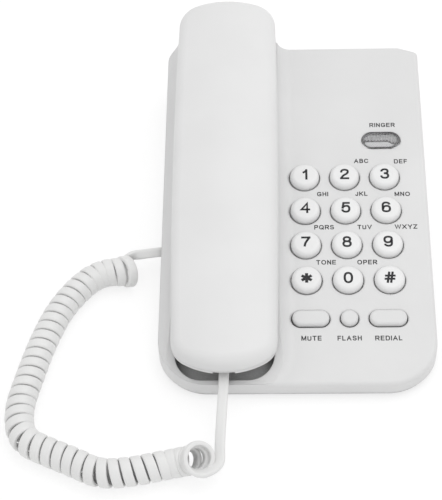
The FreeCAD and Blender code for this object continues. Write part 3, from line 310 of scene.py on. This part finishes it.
# The end curls are wider, lean as the tails pull at them and lie closer; the last one twists
COIL_RADIUS, END_RADIUS, WIDE_TURNS = 5.8, 7.3, 2.0
FIRST_LEAN, FIRST_TURNS = Vector((-0.8, -0.42, 0.42)), 3.5
LAST_LEAN, LAST_TURNS, LAST_HELD = Vector((0.3, -0.5, 0.815)), 5.0, 0.9
FIRST_CLOSER, LAST_CLOSER, CLOSE_TURNS, CLOSE_GAIN = 0.25, 0.4, 6.0, 1.6
TWIST, TWIST_TURNS = 0.45, 0.4

# Ribbon: its breadth and thickness, and the powers that square its section
RIBBON, RIBBON_POWERS, RIBBON_SIDES = (4.9, 2.4), (0.45, 0.6), 16

# Tails: the plugs, how the tails leave them and the coil, and where their ribbons turn
BASE_PLUG = Vector((-63.4, -28.44, 12.2))
BASE_LEAVE, BASE_MIDDLE, BASE_BEND = Vector((-5, 0, 0)), 0.65, 3.6
BASE_WIDE, BASE_TURNING, BASE_STEPS = Vector((0, 0.78, 0.62)), (0.5, 1.0), 40
HANDSET_PLUG = Vector((-35.0, -98.777, 17.651))
HANDSET_LEAVE = Vector((0, -0.994522, -0.104528)) * 9
HANDSET_HANG = [Vector((-1.9, -43.2, -9.6)), Vector((-1, -25.2, -6.2))]
HANDSET_BEND = 6.5
HANDSET_WIDE, HANDSET_TURNING, HANDSET_STEPS = Vector((1, 0, 0)), (0.0, 0.7), 60


def spline_points(name, points, fineness):
    """Points along a smooth spline drawn by its control points, in millimetres."""
    data = bpy.data.curves.new(name, "CURVE")
    data.dimensions = "3D"
    data.resolution_u = fineness
    spline = data.splines.new("NURBS")
    spline.points.add(len(points) - 1)
    for point, place in zip(spline.points, points):
        point.co = (*place, 1)
    spline.order_u = 3
    spline.use_endpoint_u = True
    holder = bpy.data.objects.new(name, data)
    mesh = bpy.data.meshes.new_from_object(holder)
    line = [v.co.copy() for v in mesh.vertices]
    bpy.data.objects.remove(holder)
    bpy.data.curves.remove(data)
    bpy.data.meshes.remove(mesh)
    return line


def evenly(count):
    return [k / (count - 1) for k in range(count)]


def resample(line, shares):
    """Points on the same line at shares of its length."""
    reach = [0.0]
    for a, b in zip(line, line[1:]):
        reach.append(reach[-1] + (b - a).length)
    out, i = [], 0
    for place in shares:
        want = reach[-1] * place
        while i < len(line) - 2 and reach[i + 1] < want:
            i += 1
        share = (want - reach[i]) / max(reach[i + 1] - reach[i], 1e-9)
        out.append(line[i].lerp(line[i + 1], min(max(share, 0), 1)))
    return out


def tangents(line):
    last = len(line) - 1
    return [(line[min(i + 1, last)] - line[max(i - 1, 0)]).normalized() for i in range(len(line))]


def across_way(direction, way):
    """The direction without its share along the way."""
    return (direction - way * direction.dot(way)).normalized()


def eased(share):
    share = min(max(share, 0), 1)
    return share * share * (3 - 2 * share)


def coil_route(steps):
    """Even steps of the helix's axis, closer together towards its ends."""
    pace = [0.0]
    for i in range(steps):
        first = eased(CLOSE_GAIN * (1 - i / PER_TURN / CLOSE_TURNS))
        last = eased(CLOSE_GAIN * (1 - (steps - i) / PER_TURN / CLOSE_TURNS))
        pace.append(pace[-1] + 1 - FIRST_CLOSER * first - LAST_CLOSER * last)
    line = spline_points("coil_route", COIL_ROUTE, ROUTE_FINENESS)
    return resample(line, [reach / pace[-1] for reach in pace])


def curls():
    """The helix's points and, for each, the direction along which the ribbon is wide."""
    steps = int(round(TURNS * PER_TURN))
    route = coil_route(steps)
    points, wide = [], []
    for i, (spot, along) in enumerate(zip(route, tangents(route))):
        done, left = i / PER_TURN, (steps - i) / PER_TURN
        first = eased(1 - done / FIRST_TURNS)
        last = eased(1 - (left - LAST_HELD) / LAST_TURNS)
        along = along.lerp(FIRST_LEAN, first).lerp(LAST_LEAN, last).normalized()
        side = Vector((0, 0, 1)).cross(along).normalized()
        up = along.cross(side)
        angle = START_ANGLE - 2 * math.pi * done
        outward = up * math.cos(angle) + side * math.sin(angle)
        widen = max(1 - min(done, left) / WIDE_TURNS, 0)
        points.append(spot + outward * (COIL_RADIUS + (END_RADIUS - COIL_RADIUS) * widen))
        wide.append(along.lerp(outward, TWIST * eased(1 - left / TWIST_TURNS)).normalized())
    return points, wide


def tail(points, wide_start, wide_end, turning, steps):
    """A tail's points and wide directions, which turn between two shares of its length."""
    line = resample(spline_points("tail_route", points, ROUTE_FINENESS), evenly(steps))
    turn_start, turn_end = turning
    wide = []
    for share, way in zip(evenly(steps), tangents(line)):
        turned = eased((share - turn_start) / (turn_end - turn_start))
        wide.append(across_way(wide_start.lerp(wide_end, turned), way))
    return line, wide


def ribbon_mesh(name, line, wide):
    """Tube with a flat, round-edged section."""
    section = []
    for spot in circle(RIBBON_SIDES, 0.5):
        section.append([math.copysign(abs(c) ** power, c) * size / 2
                        for c, power, size in zip(spot, RIBBON_POWERS, RIBBON)])
    verts = []
    for spot, way, across in zip(line, tangents(line), wide):
        across = across_way(across, way)
        out = way.cross(across)
        verts += [(spot + across * a + out * b) * MM for a, b in section]
    faces = ring_faces(len(line), RIBBON_SIDES)
    cord = add_mesh(name, verts, faces, MATERIALS["white_cord"])
    cord.data.shade_smooth()
    return cord


def add_cord():
    coil, coil_wide = curls()
    start, end = coil[0], coil[-1]
    first_way = (coil[1] - start).normalized()
    last_way = (end - coil[-2]).normalized()
    bend = start - first_way * BASE_BEND
    base_tail, base_wide = tail(
        [BASE_PLUG, BASE_PLUG + BASE_LEAVE, BASE_PLUG.lerp(bend, BASE_MIDDLE), bend, start],
        BASE_WIDE, coil_wide[0], BASE_TURNING, BASE_STEPS)
    handset_tail, handset_wide = tail(
        [end, end + last_way * HANDSET_BEND, *(HANDSET_PLUG + hang for hang in HANDSET_HANG),
         HANDSET_PLUG + HANDSET_LEAVE, HANDSET_PLUG],
        coil_wide[-1], HANDSET_WIDE, HANDSET_TURNING, HANDSET_STEPS)
    line = base_tail[:-1] + coil + handset_tail[1:]
    wide = base_wide[:-1] + coil_wide + handset_wide[1:]
    cord = ribbon_mesh("curly_cord", line, wide)
    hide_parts("coiled_cord", "cord_base_tail", "cord_handset_tail")
    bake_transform(cord)


add_cord()

# Lettering: each letter is its width over its height and its strokes, straight (L) or curved (C)
LETTERS = {
    "A": (0.92, "L 0 0 .5 1 1 0", "L .2 .34 .8 .34"),
    "B": (0.76, "L 0 0 0 1", "C 0 1 .5 1 .93 1 .93 .54 .5 .54 0 .54",
          "C 0 .54 .5 .54 1 .54 1 0 .5 0 0 0"),
    "C": (0.87, "C 1 .7 .93 1 0 1 0 0 .93 0 1 .3"),
    "D": (0.84, "L 0 0 0 1", "C 0 1 .35 1 1 1 1 0 .35 0 0 0"),
    "E": (0.75, "L 1 1 0 1 0 0 1 0", "L 0 .52 .92 .52"),
    "F": (0.70, "L 1 1 0 1 0 0", "L 0 .5 .86 .5"),
    "G": (0.90, "C 1 .72 .93 1 0 1 0 0 .85 0 1 .18", "L .55 .45 1 .45 1 .1"),
    "H": (0.78, "L 0 0 0 1", "L 1 0 1 1", "L 0 .52 1 .52"),
    "I": (0.15, "L .5 0 .5 1"),
    "J": (0.58, "C 1 1 1 .55 1 0 .5 0 .02 0 0 .3"),
    "K": (0.82, "L 0 0 0 1", "L 1 1 0 .34", "L .36 .58 1 0"),
    "L": (0.66, "L 0 1 0 0 1 0"),
    "M": (0.96, "L 0 0 0 1", "L 1 0 1 1", "L .03 1 .5 .05 .97 1"),
    "N": (0.79, "L 0 0 0 1", "L 1 0 1 1", "L .02 .98 .98 .02"),
    "O": (0.96, "C .5 1 0 1 0 0 1 0 1 1 .5 1"),
    "P": (0.77, "L 0 0 0 1", "C 0 1 .5 1 1 1 1 .46 .5 .46 0 .46"),
    "Q": (0.96, "C .5 1 0 1 0 0 1 0 1 1 .5 1", "L .6 .27 1 -.04"),
    "R": (0.84, "L 0 0 0 1", "C 0 1 .5 1 1 1 1 .48 .5 .48 0 .48", "L .5 .48 1 0"),
    "S": (0.80, "C .95 .75 .92 1 .03 1 .03 .56 .5 .52 1 .46 1 0 .04 0 0 .28"),
    "T": (0.80, "L 0 1 1 1", "L .5 1 .5 0"),
    "U": (0.78, "C 0 1 0 .5 0 0 .5 0 1 0 1 .5 1 1"),
    "V": (0.92, "L 0 1 .5 0 1 1"),
    "W": (1.30, "L 0 1 .25 0 .5 1 .75 0 1 1"),
    "X": (0.92, "L 0 0 1 1", "L 0 1 1 0"),
    "Y": (0.90, "L 0 1 .5 .42 1 1", "L .5 .42 .5 0"),
    "Z": (0.80, "L 0 1 1 1 0 0 1 0"),
    "1": (0.46, "L 1 0 1 1", "C 1 .98 .7 .8 0 .7"),
    "2": (0.72, "C .02 .68 .04 1 .98 1 .98 .58 .2 .3 .02 0", "L 0 0 1 0"),
    "3": (0.72, "C .04 .74 .1 1 .95 1 .95 .54 .4 .54", "C .4 .54 1 .54 1 0 .06 0 0 .28"),
    "4": (0.76, "L .76 0 .76 1 0 .3 1 .3"),
    "5": (0.72, "L .94 1 .2 1 .06 .46", "C .06 .46 .2 .66 1 .68 1 0 .06 0 0 .27"),
    "6": (0.72, "C .95 .77 .9 1 0 1 0 .4 0 0 1 0 1 .62 .1 .62 .03 .3"),
    "7": (0.72, "L 0 1 1 1", "C 1 1 .62 .62 .36 .3 .32 0"),
    "8": (0.72, "C .5 .54 .07 .54 .07 1 .93 1 .93 .54 .5 .54",
          "C .5 .54 0 .54 0 0 1 0 1 .54 .5 .54"),
    "9": (0.72, "C .05 .23 .1 0 1 0 1 .6 1 1 0 1 0 .38 .9 .38 .97 .7"),
    "0": (0.72, "C .5 1 0 1 0 0 1 0 1 1 .5 1"),
    "*": (0.93, "L .5 .66 .5 .9", "L .5 .34 .5 .1", "L .34 .42 .1 .3", "L .66 .58 .9 .7",
          "L .34 .58 .1 .7",
          "L .66 .42 .9 .3"),
    "#": (0.84, "L .22 0 .42 1", "L .6 0 .8 1", "L .06 .67 1 .67", "L 0 .33 .94 .33"),
}
LETTER_GAP = 0.22
STROKE_FINENESS, STROKE_CLOSED, MITRE_LEAST = 6, 1e-5, 0.5

# Ink lies between these heights, each stroke of a letter a little higher than the one before
INK_LOW, INK_HIGH, INK_STEP = 0.01, 0.04, 0.003

# Keys: their marks, the grid's middle and pitches, their height, and each row's lift of its marks
KEY_NAMES = {"*": "star", "#": "hash"}
DIGITS = {"key_" + KEY_NAMES.get(mark, mark): mark for mark in "123456789*0#"}
KEYPAD, KEY_PITCH, ROW_PITCH = (25.5, 89.15), 20.5, 20.75
KEY_PROUD, ROW_LIFTS = 3.1, (0.2, 0.2, 0.2, -0.2)
DIGIT_TALL, DIGIT_STROKE, STAR_STROKE, DIGIT_WIDE = 6.5, 1.12, 1.5, 1.0
WORDS = {
    "RINGER": (46.3, 154.1), "ABC": (34.5, 130.9), "DEF": (54.8, 130.4), "GHI": (14.1, 110.2),
    "JKL": (33.9, 110.2), "MNO": (54.7, 109.8), "PQRS": (14.4, 89.8), "TUV": (34.8, 89.7),
    "WXYZ": (55.6, 89.7), "TONE": (14.9, 68.8), "OPER": (35.3, 68.7), "MUTE": (6.8, 25.4),
    "FLASH": (25.2, 25.3), "REDIAL": (44.0, 25.2),
}
WORD_TALL, WORD_STROKE, WORD_WIDE = 2.65, 0.48, 0.93


def key_spot(i):
    """The middle of a key, counted by rows from the keypad's back left corner."""
    return KEYPAD[0] + KEY_PITCH * (i % 3 - 1), KEYPAD[1] + ROW_PITCH * (1.5 - i // 3)


def stroke_line(words, corner, wide, tall, stroke):
    """Points of one stroke. A straight stroke reaches half its breadth past its ends."""
    kind, *numbers = words.split()
    places = [float(n) for n in numbers]
    points = [Vector((corner + x * wide, y * tall, 0)) for x, y in zip(places[::2], places[1::2])]
    if kind == "C":
        return spline_points("stroke", points, STROKE_FINENESS)
    points[0] += (points[0] - points[1]).normalized() * stroke / 2
    points[-1] += (points[-1] - points[-2]).normalized() * stroke / 2
    return points


def stroke_sides(points, stroke):
    """Left and right edge points of a stroke, and whether it closes on itself."""
    closed = (points[0] - points[-1]).length < STROKE_CLOSED
    points = points[:-1] if closed else points
    last = len(points) - 1
    sides = []
    for i, point in enumerate(points):
        ways = []
        if i > 0 or closed:
            ways.append((point - points[i - 1]).normalized())
        if i < last or closed:
            ways.append((points[(i + 1) % len(points)] - point).normalized())
        way = (ways[0] + ways[-1]).normalized()
        normal = Vector((-way.y, way.x, 0))
        reach = stroke / 2 / max(way.dot(ways[0]), MITRE_LEAST)
        sides.append((point + normal * reach, point - normal * reach))
    return sides, closed


def add_stroke(verts, faces, sides, closed, rise):
    """Adds one stroke as a thin solid strip."""
    first, count = len(verts), len(sides)
    high = Vector((0, 0, INK_HIGH + rise))
    low = Vector((0, 0, INK_LOW))
    for left, right in sides:
        verts += [left + high, right + high, right + low, left + low]
    for i in range(count if closed else count - 1):
        a, b = first + 4 * i, first + 4 * ((i + 1) % count)
        for j in range(4):
            k = (j + 1) % 4
            faces.append((a + j, a + k, b + k, b + j))
    if not closed:
        end = first + 4 * (count - 1)
        faces.append((first + 3, first + 2, first + 1, first))
        faces.append((end, end + 1, end + 2, end + 3))


def lettering(name, word, spot, tall, stroke, wide, body):
    """Printed letters lying on the panel or on a key, centred on a spot of the panel frame."""
    verts, faces = [], []
    corner, gap = 0.0, LETTER_GAP * tall * wide
    for letter in word:
        share, *strokes = LETTERS[letter]
        width = share * tall * wide
        for i, words in enumerate(strokes):
            line = stroke_line(words, corner + stroke / 2, width - stroke, tall - stroke, stroke)
            add_stroke(verts, faces, *stroke_sides(line, stroke), INK_STEP * i)
        corner += width + gap
    middle = Vector(((corner - gap) / 2, (tall - stroke) / 2, 0))
    places = [on_panel(*(p - middle + Vector(spot))) for p in verts]
    letters = add_mesh(name, places, faces, INK)
    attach(letters, body)


def add_lettering():
    for i, (key, digit) in enumerate(DIGITS.items()):
        x, v = key_spot(i)
        spot = (x, v + ROW_LIFTS[i // 3], KEY_PROUD)
        stroke = STAR_STROKE if digit == "*" else DIGIT_STROKE
        lettering("digit_" + key[4:], digit, spot, DIGIT_TALL, stroke, DIGIT_WIDE, key)
    for word, (x, v) in WORDS.items():
        spot = (x, v, 0.0)
        lettering("word_" + word.lower(), word, spot, WORD_TALL, WORD_STROKE, WORD_WIDE, "base")


add_lettering()

# Ringer window: a clear cap with a round edge over a dark wall and a ribbed reflector; the wall's
# dark is painted shade for the lens's dark edge, and the reflector's tones are painted highlight
# and reflection
LENS = (45.3, 144.0)
LENS_LONG, LENS_WIDE, LENS_SIDES = 20.2, 10.7, 64
LENS_REACH = (LENS_LONG - LENS_WIDE) / 2
CAP_INSET, CAP_LOW, CAP_PROUD, CAP_FOOT = 0.12, -0.7, 1.2, 1.6
EDGE_BROAD, EDGE_TALL, EDGE_STEPS = 1.3, 0.9, 6
WALL_OUTER, WALL_INNER, WALL_TOP = 0.1, 1.3, -0.8
SHARP_ANGLE = math.radians(35)

# Reflector: two slopes meet in a trough, which drops to the right and has notches under the ribs
REFLECTOR_LOW, REFLECTOR_INSET, REFLECTOR_GRID = -3.0, 1.1, (120, 40)
RIB_PITCH, RIB_RISE = 1.6, 0.7
TROUGH_V, TROUGH_W, TROUGH_NOTCH = 0.35, -2.5, 0.175
DROP, DROP_START, DROP_LONG = 1.5, 3.5, 2.5
FAR_SLOPE, NEAR_SLOPE = 0.2, -0.3
TROUGH_NEAR, TROUGH_FAR = -0.2, 0.7
LEAST_SQUARE = 0.01


def lens_ring(inset, w):
    """Stadium outline of the lens, drawn in by inset, at height w."""
    radius = LENS_WIDE / 2 - inset
    ring = []
    for c, s in circle(LENS_SIDES, 0.5):
        side = math.copysign(LENS_REACH, c)
        ring.append(on_panel(LENS[0] + side + radius * c, LENS[1] + radius * s, w))
    return ring


def ringed(name, rings, material, join=False):
    """Solid through a row of rings."""
    verts = [p for ring in rings for p in ring]
    piece = add_mesh(name, verts, ring_faces(len(rings), len(rings[0]), join), material)
    piece.data.shade_smooth()
    piece.data.set_sharp_from_angle(angle=SHARP_ANGLE)
    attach(piece, "base")
    return piece


def rib(x):
    """From 0 in the middle of a rib's pitch to 1 at its ends."""
    return abs((x / RIB_PITCH) % 1 - 0.5) * 2


def above_trough(x, v):
    drop = DROP * min(max((x - DROP_START) / DROP_LONG, 0), 1)
    return v - (TROUGH_V - drop + TROUGH_NOTCH * rib(x))


def reflector_height(x, v):
    rise = above_trough(x, v)
    if rise > 0:
        return TROUGH_W + FAR_SLOPE * rise + RIB_RISE * rib(x) * min(rise, 1)
    return TROUGH_W + NEAR_SLOPE * rise


def reflector_spot(share_x, share_v):
    """Place on the reflector, from its middle, at shares of its breadth and height."""
    radius = LENS_WIDE / 2 - REFLECTOR_INSET
    v = radius * (2 * share_v - 1)
    half = LENS_REACH + math.sqrt(max(radius ** 2 - v ** 2, LEAST_SQUARE))
    return half * (2 * share_x - 1), v


def add_reflector():
    across, along = REFLECTOR_GRID
    step = across + 1
    top, faces, kinds = [], [], []
    for i in range(along + 1):
        for j in range(step):
            x, v = reflector_spot(j / across, i / along)
            top.append((LENS[0] + x, LENS[1] + v, reflector_height(x, v)))
    count = len(top)
    for i in range(along):
        for j in range(across):
            rise = above_trough(*reflector_spot((j + 0.5) / across, (i + 0.5) / along))
            # Each face takes a painted tone: painted highlight near, painted dark reflection along
            # the trough, painted grey far
            kind = 2 if rise < TROUGH_NEAR else 1 if rise < TROUGH_FAR else 0
            a = i * step + j
            faces.append((a, a + 1, a + step + 1, a + step))
            faces.append((count + a, count + a + step, count + a + step + 1, count + a + 1))
            kinds += [kind, kind]
    rim = list(range(step)) + [i * step + across for i in range(1, along + 1)]
    rim += [along * step + j for j in range(across - 1, -1, -1)]
    rim += [i * step for i in range(along - 1, 0, -1)]
    for a, b in zip(rim, rim[1:] + rim[:1]):
        faces.append((a, count + a, count + b, b))
        kinds.append(0)
    low = [(x, v, REFLECTOR_LOW) for x, v, w in top]
    piece = add_mesh("lens_reflector", [on_panel(*p) for p in top + low], faces,
                     FAR_PAINTED_REFLECTION, TROUGH_PAINTED_DARK, NEAR_PAINTED_HIGHLIGHT)
    piece.data.polygons.foreach_set("material_index", kinds)
    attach(piece, "base")


def add_lens():
    rings = [lens_ring(CAP_FOOT, CAP_LOW), lens_ring(CAP_INSET, CAP_LOW)]
    for i in range(EDGE_STEPS + 1):
        angle = math.pi / 2 * i / EDGE_STEPS
        inset = CAP_INSET + EDGE_BROAD * (1 - math.cos(angle))
        rings.append(lens_ring(inset, CAP_PROUD - EDGE_TALL * (1 - math.sin(angle))))
    cap = ringed("lens_cap", rings, MATERIALS["clear_lens"])
    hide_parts("ringer_lens")
    corners = [(WALL_OUTER, REFLECTOR_LOW), (WALL_OUTER, WALL_TOP),
               (WALL_INNER, WALL_TOP), (WALL_INNER, REFLECTOR_LOW)]
    rings = [lens_ring(*corner) for corner in corners]
    ringed("lens_edge_painted_shade", rings, WALL_PAINTED_SHADE, join=True)
    add_reflector()


add_lens()

# Rubber mat with a dome under each key, drawn by radius and height, at rest; a real dome flattens
# as it is pressed
MAT_BOTTOM, MAT_TOP, MAT_CORNER, MAT_EDGE, MAT_SIDES = -6.35, -5.35, 3.0, 0.15, 48
MAT_X, MAT_V = (-0.6, 51.6), (30.6, 125.875)
DOME_PROFILE = [(2.6, 0.0), (2.5, 0.3), (2.1, 0.8), (1.75, 1.3), (1.5, 1.47), (1.2, 1.5)]
DOME_KEEP, DOME_SIDES = 0.25, 24
FUNCTION_V, FUNCTION_PITCH = 36.2, 18.85


def mat_ring(inset, w):
    """Outline of the mat with round corners, drawn in by inset, at height w."""
    radius = MAT_CORNER - inset
    ring = []
    for c, s in circle(MAT_SIDES, 0.5):
        x = MAT_X[1] - MAT_CORNER if c > 0 else MAT_X[0] + MAT_CORNER
        v = MAT_V[1] - MAT_CORNER if s > 0 else MAT_V[0] + MAT_CORNER
        ring.append(on_panel(x + radius * c, v + radius * s, w))
    return ring


def dome_ring(x, v, radius, rise):
    return [on_panel(x + radius * c, v + radius * s, MAT_TOP + rise) for c, s in circle(DOME_SIDES)]


def add_mat():
    rings = [mat_ring(MAT_EDGE, MAT_BOTTOM), mat_ring(0, MAT_BOTTOM + MAT_EDGE),
             mat_ring(0, MAT_TOP - MAT_EDGE), mat_ring(MAT_EDGE, MAT_TOP)]
    sheet = ringed("mat_sheet", rings, MATERIALS["pale_rubber"])
    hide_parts("keypad_mat")
    spots = {key: key_spot(i) for i, key in enumerate(DIGITS)}
    for i, key in enumerate(FUNCTION_BUTTONS):
        spots[key] = (KEYPAD[0] + FUNCTION_PITCH * (i - 1), FUNCTION_V)
    for key, (x, v) in spots.items():
        rings = [dome_ring(x, v, *spot) for spot in DOME_PROFILE]
        dome = ringed("dome_" + key, rings, MATERIALS["pale_rubber"])
        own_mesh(dome)


add_mat()

# Floor, backdrop and light
FLOOR_HALF = 3.0
PAPER_DARK, PAPER_LIGHT = (0.93, 0.93, 0.93), (0.95, 0.95, 0.95)
GLOW, GLOW_SHARE = 1.07, 0.7
SKY_LOW, SKY_HIGH, SKY_SEEN = 0.72, 0.88, 1.0

# Lamps: name, place, size and power, all aimed at the origin
LAMPS = [("key", (0.5, 0.3, 1.5), 1.4, 7), ("front", (-0.2, -1.1, 0.3), 0.8, 0.6)]


def background_rays(tree):
    """1 for the rays that look at the background, straight, by gloss or through glass."""
    rays = tree.nodes.new("ShaderNodeLightPath")
    seen = rays.outputs["Is Camera Ray"]
    for kind in ("Is Glossy Ray", "Is Transmission Ray"):
        either = tree.nodes.new("ShaderNodeMath")
        either.operation = "MAXIMUM"
        tree.links.new(seen, either.inputs[0])
        tree.links.new(rays.outputs[kind], either.inputs[1])
        seen = either.outputs["Value"]
    return seen


def floor_material():
    """Matt paper that glows to the rays that look at the background, and keeps the shadow."""
    n = Nodes("floor_paper")
    n.set(Roughness=0.9, Specular_IOR_Level=0.1)
    n.link(n.shade(n.noise(3.0), PAPER_DARK, PAPER_LIGHT), n.shader.inputs["Base Color"])
    glow = n.add("ShaderNodeEmission")
    glow.inputs["Strength"].default_value = GLOW
    mix = n.add("ShaderNodeMixShader")
    mix.inputs["Fac"].default_value = GLOW_SHARE
    pick = n.add("ShaderNodeMixShader")
    n.link(n.shader.outputs["BSDF"], mix.inputs[1])
    n.link(glow.outputs["Emission"], mix.inputs[2])
    n.link(background_rays(n.tree), pick.inputs["Fac"])
    n.link(n.shader.outputs["BSDF"], pick.inputs[1])
    n.link(mix.outputs["Shader"], pick.inputs[2])
    n.link(pick.outputs["Shader"], n.tree.nodes["Material Output"].inputs["Surface"])
    return n.material


def add_stage():
    corners = [(-1, -1), (1, -1), (1, 1), (-1, 1)]
    verts = [(x * FLOOR_HALF, y * FLOOR_HALF, 0) for x, y in corners]
    floor = add_mesh("floor", verts, [(0, 1, 2, 3)], floor_material())


def add_lamp(name, place, size, power):
    data = bpy.data.lights.new(name, "AREA")
    data.shape = "DISK"
    data.size = size
    data.energy = power
    lamp = bpy.data.objects.new(name, data)
    lamp.location = place
    lamp.rotation_euler = (-Vector(place)).to_track_quat("-Z", "Y").to_euler()
    scene.collection.objects.link(lamp)


def add_world():
    """White to the rays that look at it, and to the light a dome that is brighter overhead."""
    world = bpy.data.worlds.new("studio")
    scene.world = world
    world.use_nodes = True
    tree = world.node_tree
    coords = tree.nodes.new("ShaderNodeTexCoord")
    parts = tree.nodes.new("ShaderNodeSeparateXYZ")
    dome = tree.nodes.new("ShaderNodeMapRange")
    dome.inputs["To Min"].default_value = SKY_LOW
    dome.inputs["To Max"].default_value = SKY_HIGH
    strength = tree.nodes.new("ShaderNodeMapRange")
    strength.inputs["To Max"].default_value = SKY_SEEN
    background = tree.nodes["Background"]
    background.inputs["Color"].default_value = (1, 1, 1, 1)
    tree.links.new(coords.outputs["Generated"], parts.inputs["Vector"])
    tree.links.new(parts.outputs["Z"], dome.inputs["Value"])
    tree.links.new(dome.outputs["Result"], strength.inputs["To Min"])
    tree.links.new(background_rays(tree), strength.inputs["Value"])
    tree.links.new(strength.outputs["Result"], background.inputs["Strength"])


scene.view_settings.view_transform = "Standard"
add_stage()
add_world()
for values in LAMPS:
    add_lamp(*values)
